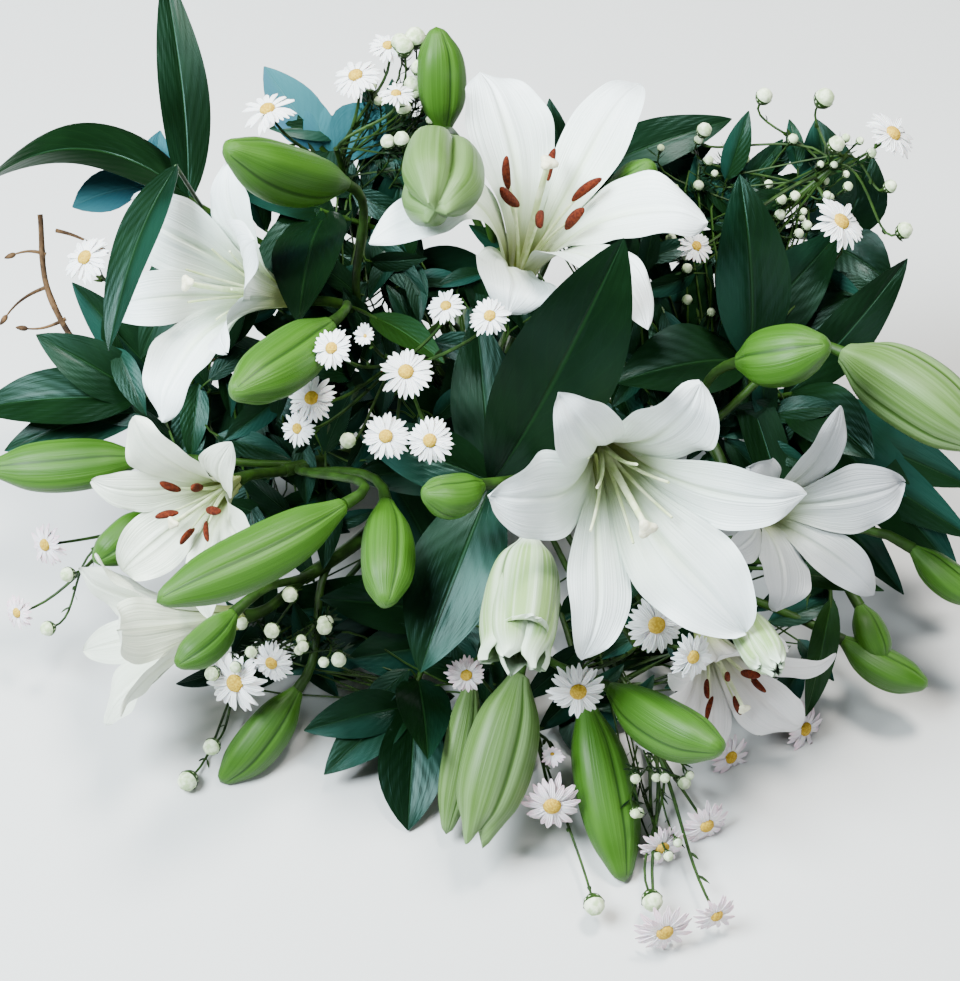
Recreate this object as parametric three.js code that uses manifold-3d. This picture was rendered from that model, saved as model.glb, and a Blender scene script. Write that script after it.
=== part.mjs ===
// A hand-tied bouquet of white lilies, laid down on a table on its lower leaves and its stem ends.
// Millimetres, +Z up. The table is at z = 0 and the origin is under the middle of the bouquet.
//
// The bouquet is laid out on its face, the side that the flowers look out of. A place on the face
// is [right, up, out] from its middle: right and up as they are seen from VIEW_DISTANCE in front of
// the face, and out towards the viewer, away from the stems.
import * as THREE from "three";
import { mergeVertices } from "three/addons/utils/BufferGeometryUtils.js";
import Module from "manifold-3d";

const wasm = await Module();
wasm.setup();

// How the bouquet lies
const FACE_TILT = 40; // degrees that the face is raised from lying flat, face up
const FACE_HEIGHT = 165; // middle of the face above the table
const VIEW_DISTANCE = 1150;

// The tie and the stems that pass through it
const TIE_BEHIND_FACE = 170;
const BUNDLE_RISE = -0.342; // climb of the bundle over its length, seen on the face
const TAIL_LENGTH = 130; // stems below the tie
const SPIRAL = 0.005; // turn of the stems about the bundle for each mm, in radians
const MIDDLE_STEM = 5.4; // radii
const LILY_STEM = 4.15;
const THIN_STEM = 1.8;
const PEDICEL = 2.2;
const STALK = 1.1;
const LEAF_SPACING = 4.5; // along a leafy stem
const FIRST_BEND = 3; // the step of a leafy stem that ends at its first bend
const FORK_START = 0.82; // share of a stem's line below its fork
const LILY_RING = 9.9; // radius of the ring of lily stems round the middle one
const THIN_RING = 17.8;
const LILY_SEATS = 7;
const THIN_SEATS = 28;
const TIE_WIDTH = 24;
const TIE_INSIDE = 20.25;
const CORD = 4.8; // thickness of the cord that the tie is wound from
const CLEAR = 0.35; // gap where two pieces touch

// Lily blooms
const TEPAL_LENGTH = 120;
const PETAL_WIDTH = 56;
const SEPAL_WIDTH = 38;
const TEPAL_THICKNESS = 1.5;
const THROAT_HEIGHT = 40; // throat above the bloom's base
const BLOOM_FOOT = 5.5; // radius

const vec = (x = 0, y = 0, z = 0) => new THREE.Vector3(x, y, z);
const unit = ([x, y, z]) => vec(x, y, z).normalize();
const { lerp, clamp, smoothstep, degToRad: rad } = THREE.MathUtils;

// The true place of a point of the face that is given as it is seen.
function seen([right, up, out]) {
  const nearer = 1 - out / VIEW_DISTANCE;
  return vec(right * nearer, up * nearer, out);
}

// Closed bodies

// Reshapes a closed geometry: each of its points goes where move puts it.
function shaped(geometry, move) {
  const bare = geometry.clone();
  bare.deleteAttribute("normal");
  bare.deleteAttribute("uv");
  const merged = mergeVertices(bare, 1e-4);
  const position = merged.getAttribute("position");
  for (let i = 0; i < position.count; i++) {
    const moved = move(vec().fromBufferAttribute(position, i));
    position.setXYZ(i, moved.x, moved.y, moved.z);
  }
  return merged;
}

// Six times the signed volume of a closed geometry.
function signedVolume(geometry) {
  const position = geometry.getAttribute("position");
  const index = geometry.index;
  const corner = (i) => vec().fromBufferAttribute(position, index.getX(i));
  let sum = 0;
  for (let i = 0; i < index.count; i += 3)
    sum += corner(i).dot(corner(i + 1).cross(corner(i + 2)));
  return sum;
}

function solidOf(geometry) {
  const merged = shaped(geometry, (p) => p);
  const triangles = new Uint32Array(merged.index.array);
  if (signedVolume(merged) < 0) triangles.reverse();
  return new wasm.Manifold(
    new wasm.Mesh({
      numProp: 3,
      vertProperties: new Float32Array(merged.getAttribute("position").array),
      triVerts: triangles,
    }),
  );
}

function geometryOf(solid) {
  const mesh = solid.getMesh();
  const geometry = new THREE.BufferGeometry();
  geometry.setAttribute("position", new THREE.BufferAttribute(mesh.vertProperties, 3));
  geometry.setIndex(new THREE.BufferAttribute(mesh.triVerts, 1));
  return geometry;
}

const fuse = (geometries) => geometries.map(solidOf).reduce((whole, piece) => whole.add(piece));

// A closed sheet with both faces split alike. place puts the points of a unit square's grid into
// space, on the upper side, 1, and on the lower side, -1.
function sheet(columns, rows, place) {
  const square = new THREE.PlaneGeometry(1, 1, columns, rows);
  const grid = square.getAttribute("position");
  const points = [1, -1].flatMap((side) =>
    Array.from({ length: grid.count }, (_, i) => place(grid.getX(i), grid.getY(i), side)));
  const upper = Array.from(square.index.array);
  const index = [...upper, ...upper.map((i) => i + grid.count).reverse()];
  const next = (i) => upper[i % 3 === 2 ? i - 2 : i + 1];
  const edges = new Set(upper.map((a, i) => `${a} ${next(i)}`));
  upper.forEach((a, i) => {
    const b = next(i);
    if (edges.has(`${b} ${a}`)) return;
    index.push(b, a, a + grid.count, b, a + grid.count, b + grid.count);
  });
  return new THREE.BufferGeometry().setFromPoints(points).setIndex(index);
}

// A round stem along a curve.
function stem(curve, radius, sides, steps) {
  const corner = (i) => rad((360 * i) / sides);
  const round = new THREE.Shape(
    Array.from({ length: sides }, (_, i) =>
      new THREE.Vector2(radius * Math.cos(corner(i)), radius * Math.sin(corner(i)))),
  );
  return new THREE.ExtrudeGeometry(round, { steps, extrudePath: curve, bevelEnabled: false });
}

// A curve that leaves one point in its direction and arrives at another in its own.
function reach(from, fromWay, to, toWay) {
  const handle = from.distanceTo(to) * 0.38;
  return new THREE.CubicBezierCurve3(
    from,
    from.clone().addScaledVector(fromWay, handle),
    to.clone().addScaledVector(toWay, -handle),
    to,
  );
}

// Two directions square to a third.
function squareTo(ahead) {
  const side = vec(1, 0, 0).addScaledVector(ahead, -ahead.x).normalize();
  return [side, side.clone().cross(ahead)];
}

// The bundle

const bundleWay = vec(0, BUNDLE_RISE, Math.sqrt(1 - BUNDLE_RISE ** 2));
const bundleRight = vec(1, 0, 0);
const bundleUp = bundleWay.clone().cross(bundleRight);
const tieCentre = bundleWay.clone().multiplyScalar(-TIE_BEHIND_FACE);

// Places in the tie, as radius and degrees: one lily stem in the middle, the others in rings.
function lilySeat(n) {
  return n === 0 ? [0, 0] : [LILY_RING, 68 + (360 / LILY_SEATS) * (n - 1)];
}
const thinSeat = (n) => [THIN_RING, (360 / THIN_SEATS) * n];

// Where the stem in a seat is, at a distance above the tie. All stems lean the same way round.
function inBundle([radius, degrees], above) {
  const x = radius * Math.cos(rad(degrees));
  const y = radius * Math.sin(rad(degrees));
  const turn = above * SPIRAL;
  return tieCentre
    .clone()
    .addScaledVector(bundleWay, above)
    .addScaledVector(bundleRight, x - turn * y)
    .addScaledVector(bundleUp, y + turn * x);
}

// A stem's line from its cut end, straight through the tie and on through its own points. Its first
// step is the straight part, and the others are shared evenly among the bends.
class StemLine extends THREE.CatmullRomCurve3 {
  constructor(seat, through, stepsPerBend) {
    const tail = TAIL_LENGTH * (1 - 0.07 * Math.abs(Math.sin(4 * rad(seat[1] - 270))));
    const straight = [-tail, TIE_WIDTH / 2 + 2].map((above) => inBundle(seat, above));
    super([...straight, ...through.map(seen)], false, "centripetal");
    this.steps = 1 + stepsPerBend * through.length;
  }

  getUtoTmapping(u) {
    const straight = 1 / (this.points.length - 1);
    const first = 1 / this.steps;
    if (u < first) return (u / first) * straight;
    return straight + ((u - first) / (1 - first)) * (1 - straight);
  }
}

// The cord of the tie, wound round the bundle turn by turn.
function tie() {
  const turns = Math.round(TIE_WIDTH / CORD);
  const profile = [new THREE.Vector2(TIE_INSIDE, 0)];
  for (let i = 0; i < turns; i++)
    for (const [x, y] of [[0.5, 0.04], [1, 0.5]])
      profile.push(new THREE.Vector2(TIE_INSIDE + x * CORD, (i + y) * CORD));
  profile.push(new THREE.Vector2(TIE_INSIDE, turns * CORD), profile[0].clone());
  const width = turns * CORD;
  return shaped(new THREE.LatheGeometry(profile, 14), (p) =>
    tieCentre
      .clone()
      .addScaledVector(bundleWay, p.y - width / 2)
      .addScaledVector(bundleRight, p.z)
      .addScaledVector(bundleUp, p.x));
}

// Leaves

// Half the width of a blade along its length, as a share of its widest half.
function bladeOutline(s, broad) {
  return Math.sin(Math.PI * s ** (Math.log(0.5) / Math.log(broad))) ** 0.8;
}

// A blade from base to tip that faces a way, arched along its length and folded at its rib. One of
// fewer rows lies at the back and is flat across.
function leaf(blade) {
  const { base, tip, width, faces = [0, 0, 1], arch = 6, fold = 0.14, broad = 0.42, rows = 4 } = blade;
  const from = base.clone();
  const ahead = seen(tip).sub(from).normalize();
  from.addScaledVector(ahead, -1.5);
  const length = from.distanceTo(seen(tip));
  const up = unit(faces);
  up.addScaledVector(ahead, -up.dot(ahead)).normalize();
  const across = up.clone().cross(ahead);
  return sheet(rows < 4 ? 1 : 2, rows, (x, y, side) => {
    const s = y + 0.5;
    const half = Math.max(1, (width / 2) * bladeOutline(s, broad));
    const lift = arch * 4 * s * (1 - s) + 2 * Math.abs(x) * half * fold + (side / 2) * lerp(2, 0.9, s);
    return from
      .clone()
      .addScaledVector(ahead, s * length)
      .addScaledVector(up, lift)
      .addScaledVector(across, 2 * x * half);
  });
}

// Buds

// A closed bud from base to tip, with three broad ribs, bent down a little.
function bud({ base, tip, width, bend = 4 }) {
  const [from, to] = [seen(base), seen(tip)];
  const ahead = to.clone().sub(from).normalize();
  const [side, other] = squareTo(ahead);
  const girth = [0.24, 0.84, 1, 0.86, 0.3];
  const steps = girth.length - 1;
  return shaped(new THREE.CylinderGeometry(1, 1, 1, 9, steps), ({ x, y, z }) => {
    const s = y + 0.5;
    const turn = Math.atan2(x, z);
    const rib = 1 + 0.07 * Math.cos(3 * turn);
    const radius = (width / 2) * girth[Math.round(s * steps)] * rib * Math.hypot(x, z);
    return from
      .clone()
      .lerp(to, s)
      .addScaledVector(side, radius * Math.cos(turn))
      .addScaledVector(other, radius * Math.sin(turn))
      .add(vec(0, -bend * Math.sin(Math.PI * s) * Math.hypot(ahead.x, ahead.z), 0));
  });
}

// A bud about to open: its tepals part at the tip round a hollow, three in front of three.
function openingBud({ base, tip, width }) {
  const [from, to] = [seen(base), seen(tip)];
  const ahead = to.clone().sub(from).normalize();
  const [side, other] = squareTo(ahead);
  const girth = [0.3, 0.76, 0.97, 1, 0.94, 0.8, 0.52];
  const steps = girth.length - 1;
  return shaped(new THREE.CylinderGeometry(1, 1, 1, 12, steps), ({ x, y, z }) => {
    const s = y + 0.5;
    const turn = Math.atan2(x, z);
    const out = Math.hypot(x, z);
    const open = smoothstep(s, 0.3, 1);
    const rib = 1 + (0.05 + 0.17 * open) * Math.cos(3 * turn);
    const radius = (width / 2) * girth[Math.round(s * steps)] * rib * out;
    const sunk = s > 0.99 && out < 0.5 ? -0.3 : 0;
    const notch = s > 0.99 && out > 0.5 ? 0.05 * Math.cos(3 * turn) : 0;
    return from
      .clone()
      .lerp(to, s + sunk + notch)
      .addScaledVector(side, radius * Math.cos(turn))
      .addScaledVector(other, radius * Math.sin(turn));
  });
}

// Blooms

// Maps a height above a bloom's base, an azimuth, a radius and a step sideways to the face.
function bloomPlace({ throat, way, roll = 0, size = 1 }) {
  const up = unit(way);
  const base = seen(throat).addScaledVector(up, -THROAT_HEIGHT * size);
  const right = vec(1, 0, 0).addScaledVector(up, -up.x).normalize();
  const over = up.clone().cross(right);
  return (height, azimuth, radius, sideways = 0) => {
    const turn = azimuth + rad(roll);
    return base
      .clone()
      .addScaledVector(up, height)
      .addScaledVector(right, radius * Math.cos(turn) - sideways * Math.sin(turn))
      .addScaledVector(over, radius * Math.sin(turn) + sideways * Math.cos(turn));
  };
}

// The midline of a tepal: height and radius at each share of its length.
function tepalLine(length, tipLean, foot) {
  const steps = 40;
  const line = [[0, foot]];
  for (let i = 1; i <= steps; i++) {
    const lean = rad(lerp(11, tipLean, ((i - 0.5) / steps) ** 1.25));
    const [height, radius] = line[i - 1];
    const step = length / steps;
    line.push([height + step * Math.cos(lean), radius + step * Math.sin(lean)]);
  }
  return (s) => {
    const place = clamp(s, 0, 1) * steps;
    const i = Math.min(steps - 1, Math.floor(place));
    return [0, 1].map((k) => lerp(line[i][k], line[i + 1][k], place - i));
  };
}

// Half the width of a free tepal along its length, as a share of its widest half.
const tepalOutline = (s) => Math.sin(Math.PI * clamp(s, 0, 1) ** 1.15) ** 0.65;

// Rows of a tepal, and how many of them belong to the funnel that all six share
const TEPAL_ROWS = [0, 0.2, 0.42, 0.7, 0.985];
const FUNNEL_ROWS = 3;

// One bloom: six tepals grown together at the base, three broad ones between three narrow ones.
function bloom(spec) {
  const { tipLean = 88, size = 1, lobes = {} } = spec;
  const place = bloomPlace(spec);
  const points = [];
  const put = (point) => points.push(point) - 1;
  const tepals = Array.from({ length: 6 }, (_, lobe) => {
    const broad = lobe % 2 === 0;
    const { turn = 0, lean = tipLean, stretch = 1 } = lobes[lobe] || {};
    const line = tepalLine(TEPAL_LENGTH * size * stretch, lean, BLOOM_FOOT * size);
    const sector = rad(broad ? 35 : 25);
    const widest = ((broad ? PETAL_WIDTH : SEPAL_WIDTH) / 2) * size;
    const columns = broad ? 4 : 2;
    return TEPAL_ROWS.map((s, row) => {
      const [height, radius] = line(s);
      const [lowHeight, lowRadius] = line(s - 0.02);
      const [highHeight, highRadius] = line(s + 0.02);
      const slope = Math.atan2(highRadius - lowRadius, highHeight - lowHeight);
      const free = smoothstep(s, 0.3, 0.8);
      const room = radius * sector - (row < FUNNEL_ROWS ? 0 : 0.5);
      const half = row < FUNNEL_ROWS ? room : clamp(widest * tepalOutline(s), 2, room);
      const curve = lerp(radius, radius * 2.2 + 25, free);
      const azimuth = rad(60 * lobe + turn * free);
      return Array.from({ length: columns + 1 }, (_, i) => {
        const t = (2 * i) / columns - 1;
        const swing = (t * half) / curve;
        const wave = free * t * t * 2 * Math.sin(9 * s + lobe);
        const inward = curve * (1 - Math.cos(swing)) + wave;
        return [1, -1].map((side) => {
          const off = (side * TEPAL_THICKNESS * size) / 2 + inward;
          return put(
            place(
              height + off * Math.sin(slope),
              azimuth,
              radius - off * Math.cos(slope),
              curve * Math.sin(swing),
            ),
          );
        });
      });
    });
  });
  for (let lobe = 0; lobe < 6; lobe++)
    for (let row = 0; row < FUNNEL_ROWS; row++)
      tepals[(lobe + 1) % 6][row][0] = tepals[lobe][row].at(-1);

  const index = [];
  const quad = (a, b, c, d) => index.push(a, b, c, a, c, d);
  for (const tepal of tepals) {
    for (let row = 0; row + 1 < TEPAL_ROWS.length; row++) {
      const [low, high] = [tepal[row], tepal[row + 1]];
      for (let i = 0; i + 1 < low.length; i++) {
        quad(low[i][0], low[i + 1][0], high[i + 1][0], high[i][0]);
        index.push(low[i][1], high[i + 1][1], low[i + 1][1]);
        index.push(low[i][1], high[i][1], high[i + 1][1]);
      }
      if (row < FUNNEL_ROWS - 1) continue;
      quad(low[0][0], high[0][0], high[0][1], low[0][1]);
      quad(low.at(-1)[0], low.at(-1)[1], high.at(-1)[1], high.at(-1)[0]);
    }
    const end = tepal.at(-1);
    for (let i = 0; i + 1 < end.length; i++)
      quad(end[i][0], end[i + 1][0], end[i + 1][1], end[i][1]);
  }
  // The foot is closed inside and outside.
  const foot = tepals.flatMap((tepal) => tepal[0].slice(0, -1));
  const inside = put(place(TEPAL_THICKNESS / 2, 0, 0));
  const outside = put(place(-TEPAL_THICKNESS / 2, 0, 0));
  foot.forEach((pair, i) => {
    const next = foot[(i + 1) % foot.length];
    index.push(inside, next[0], pair[0], outside, pair[1], next[1]);
  });
  const used = [...new Set(index)];
  const number = new Map(used.map((old, now) => [old, now]));
  return new THREE.BufferGeometry()
    .setFromPoints(used.map((i) => points[i]))
    .setIndex(index.map((i) => number.get(i)));
}

// The pistil with its lobed stigma, and six filaments round it, with or without anthers.
function stamens(spec) {
  const { size = 1, anthers = false } = spec;
  const place = bloomPlace(spec);
  const foot = TEPAL_THICKNESS / 2 + CLEAR;
  const up = unit(spec.way);
  const style = new THREE.QuadraticBezierCurve3(
    place(foot, 0, 0),
    place(40 * size, 0, 0),
    place(78 * size, 0, 4),
  );
  const pieces = [stem(style, 2 * size, 4, 2)];
  const [side, other] = squareTo(up);
  pieces.push(
    shaped(new THREE.CylinderGeometry(1, 1, 1, 6, 1), ({ x, y, z }) => {
      const turn = Math.atan2(x, z);
      const radius = size * (y > 0 ? 4.4 : 2) * (1 + 0.2 * Math.cos(3 * turn)) * Math.hypot(x, z);
      return place((77 + 5 * (y + 0.5)) * size, 0, 4)
        .addScaledVector(side, radius * Math.cos(turn))
        .addScaledVector(other, radius * Math.sin(turn));
    }),
  );
  for (let k = 0; k < 6; k++) {
    const azimuth = rad(60 * k + 30);
    const spread = (k % 2 ? 20 : 24) * size;
    const tip = place((60 + 3 * (k % 3)) * size, azimuth, spread);
    const filament = new THREE.QuadraticBezierCurve3(
      place(foot + 2, azimuth, 0.8),
      place(34 * size, azimuth, spread * 0.25),
      tip,
    );
    pieces.push(stem(filament, 1, 3, 1));
    if (anthers) pieces.push(anther(place, tip, azimuth, 20 + 25 * (k % 3), size));
  }
  return fuse(pieces);
}

// An anther, balanced across the end of its filament.
function anther(place, middle, azimuth, lean, size) {
  const outward = place(0, azimuth, 1).sub(place(0, azimuth, 0));
  const upward = place(1, 0, 0).sub(place(0, 0, 0));
  const ahead = outward.multiplyScalar(Math.sin(rad(lean))).addScaledVector(upward, Math.cos(rad(lean)));
  const [side, other] = squareTo(ahead);
  const thick = 2.8 * size;
  return shaped(new THREE.CylinderGeometry(thick, 0.7 * thick, 1, 4, 1), ({ x, y, z }) =>
    middle
      .clone()
      .addScaledVector(ahead, y * 17 * size)
      .addScaledVector(side, x)
      .addScaledVector(other, z));
}

// Asters

// A head of rays round a raised disc, over a short green cup that meets the stalk.
function asterHead(centre, way, radius) {
  const rays = 5;
  const [side, other] = squareTo(way);
  return shaped(new THREE.CylinderGeometry(1, 1, 1, 2 * rays, 1), ({ x, y, z }) => {
    const out = Math.hypot(x, z);
    const turn = Math.atan2(x, z);
    const ray = out * radius * (0.78 + 0.22 * Math.cos(rays * turn));
    const height = out > 0.5 ? 1.6 * y + 0.06 * ray * Math.cos(rays * turn) : y > 0 ? 3 : -5.5;
    return centre
      .clone()
      .addScaledVector(way, height)
      .addScaledVector(side, ray * Math.cos(turn))
      .addScaledVector(other, ray * Math.sin(turn));
  });
}

const asterBud = (centre, radius) =>
  new THREE.SphereGeometry(radius, 4, 2).translate(centre.x, centre.y, centre.z);

// The layout of the bouquet, as it is seen on its face

const GREEN = { color: 0x5f7f36, roughness: 0.6 };
const DARK_LEAF = { color: 0x2a3f1d, roughness: 0.42 };
const BLUE_LEAF = { color: 0x6b8c85, roughness: 0.65 };
const WHITE_TEPAL = { color: 0xf0efe6, roughness: 0.55 };
const PALE_BUD = { color: 0xd8dca8, roughness: 0.55 };
const ANTHER = { color: 0x9a5a1e, roughness: 0.9 };
const ASTER = { color: 0xeef0e2, roughness: 0.7 };
const BARK = { color: 0x6b4a33, roughness: 0.85 };
const TWINE = { color: 0xb49a6a, roughness: 0.9 };

// Lily stems: a seat in the tie, the points that the stem passes, its buds and its narrow leaves.
const LILIES = {
  middle: {
    seat: 0,
    through: [[28, 18, -78], [44, 10, -38]],
    buds: [{ base: [2, 3, 18], tip: [-29, -2, 38], width: 22 }],
  },
  top: {
    seat: 1,
    through: [[6, 95, -120], [8, 120, -98]],
    buds: [
      { base: [-18, 178, -82], tip: [-22, 232, -62], width: 26, bend: -2 },
      { base: [62, 140, -84], tip: [86, 164, -46], width: 24 },
    ],
  },
  left: {
    seat: 2,
    through: [[-47, 79, -106], [-66, 92, -85]],
    buds: [
      { base: [-66, 153, -30], tip: [-128, 172, 40], width: 30 },
      { base: [-74, 84, -6], tip: [-124, 48, 58], width: 30 },
    ],
    leaves: [
      { base: [-54, 87, -62], tip: [-18, 64, -38], width: 20, faces: [0.2, 0.5, 0.85], arch: 3 },
    ],
  },
  lower_left: {
    seat: 3,
    through: [[-62, 20, -118], [-98, 10, -85]],
    buds: [
      { base: [-168, 16, -72], tip: [-246, 11, -66], width: 28, bend: 2 },
      { base: [-66, -6, 12], tip: [-162, -56, 58], width: 29 },
      { base: [-47, -4, -18], tip: [-47, -58, 26], width: 27 },
      { base: [-166, -10, -64], tip: [-193, -36, -50], width: 21 },
    ],
  },
  far_left: {
    seat: 4,
    through: [[-55, -20, -120], [-88, -44, -92]],
    buds: [
      { base: [-90, -98, -86], tip: [-130, -146, -82], width: 25 },
      { base: [-122, -60, -14], tip: [-152, -88, 4], width: 20 },
    ],
  },
  bottom: {
    seat: 5,
    through: [[8, -45, -110], [24, -78, -76]],
    buds: [
      { base: [-4, -92, -60], tip: [-17, -172, -52], width: 19 },
      { base: [20, -90, -40], tip: [-4, -176, -24], width: 37 },
      { base: [52, -104, -62], tip: [72, -196, -42], width: 31 },
      { base: [64, -98, -38], tip: [122, -130, 14], width: 29 },
    ],
  },
  lower_right: {
    seat: 6,
    through: [[68, -14, -118], [92, -36, -96]],
    buds: [
      { base: [189, -56, -92], tip: [202, -86, -84], width: 18 },
      { base: [180, -74, -92], tip: [224, -98, -84], width: 22 },
      { base: [215, -28, -88], tip: [253, -56, -80], width: 20 },
    ],
    leaves: [
      { base: [176, -55, -88], tip: [163, -113, -80], width: 17, faces: [0.3, 0.2, 1], arch: 4 },
    ],
  },
  right: {
    seat: 7,
    through: [[82, 28, -115], [112, 28, -76]],
    buds: [
      { base: [128, 64, -22], tip: [175, 73, 10], width: 31, bend: 2 },
      { base: [180, 70, -60], tip: [254, 22, -26], width: 41, bend: -4 },
    ],
    leaves: [
      { base: [150, -40, -62], tip: [202, -50, -52], width: 15, faces: [0, 0.5, 1], arch: 3 },
    ],
  },
};

const BLOOMS = {
  top: {
    throat: [27, 132, -40], way: [0.2, 0.65, 0.73], roll: 112, anthers: true,
    lobes: {
      0: { turn: 3 }, 1: { turn: 38, lean: 118, stretch: 1.12 }, 2: { turn: 26, lean: 120, stretch: 0.56 },
      3: { turn: 6, lean: 110, stretch: 1.18 }, 4: { turn: -2 }, 5: { turn: 6, stretch: 1.12 },
    },
  },
  left: {
    throat: [-121, 102, -22], way: [-0.64, 0.1, 0.76], roll: 246, size: 0.84,
    lobes: {
      0: { turn: 8, stretch: 1.06 }, 1: { turn: 4, lean: 58 }, 2: { lean: 60 },
      3: { turn: 14, lean: 92, stretch: 0.84 }, 4: { lean: 100, turn: 12 },
    },
  },
  lower_left: {
    throat: [-137, -5, -22], way: [-0.45, -0.35, 0.82], roll: 225, size: 0.66, anthers: true,
    lobes: { 3: { turn: 10 }, 4: { turn: 12 }, 5: { turn: 6 } },
  },
  middle: {
    throat: [70, 5, 32], way: [0.22, -0.5, 0.83], roll: -60,
    lobes: {
      0: { turn: 8, stretch: 1.06 }, 2: { stretch: 0.78 }, 3: { stretch: 0.92 },
      4: { turn: -12, stretch: 0.86 }, 5: { turn: 12 },
    },
  },
  right: {
    throat: [152, -12, -22], way: [0.5, -0.15, 0.85], roll: 15, size: 0.71, pistil: false,
    lobes: { 2: { stretch: 0.62 }, 3: { stretch: 0.85 }, 4: { stretch: 0.8 } },
  },
  lower_right: {
    throat: [120, -88, -58], way: [0.3, -0.72, 0.62], roll: -45, size: 0.68, anthers: true,
  },
  far_left: {
    throat: [-147, -68, -53], way: [-0.92, -0.14, 0.35], roll: 30, size: 0.76, tipLean: 48, pistil: false,
  },
};

// Pale buds about to open, each on its lily stem
const OPENING = {
  top: { on: "top", base: [-18, 176, -8], tip: [-23, 139, 54], width: 36 },
  middle: { on: "middle", base: [25, -25, 4], tip: [18, -86, 38], width: 36 },
  lower_right: { on: "lower_right", base: [130, -62, -6], tip: [148, -90, 26], width: 20 },
};

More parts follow.
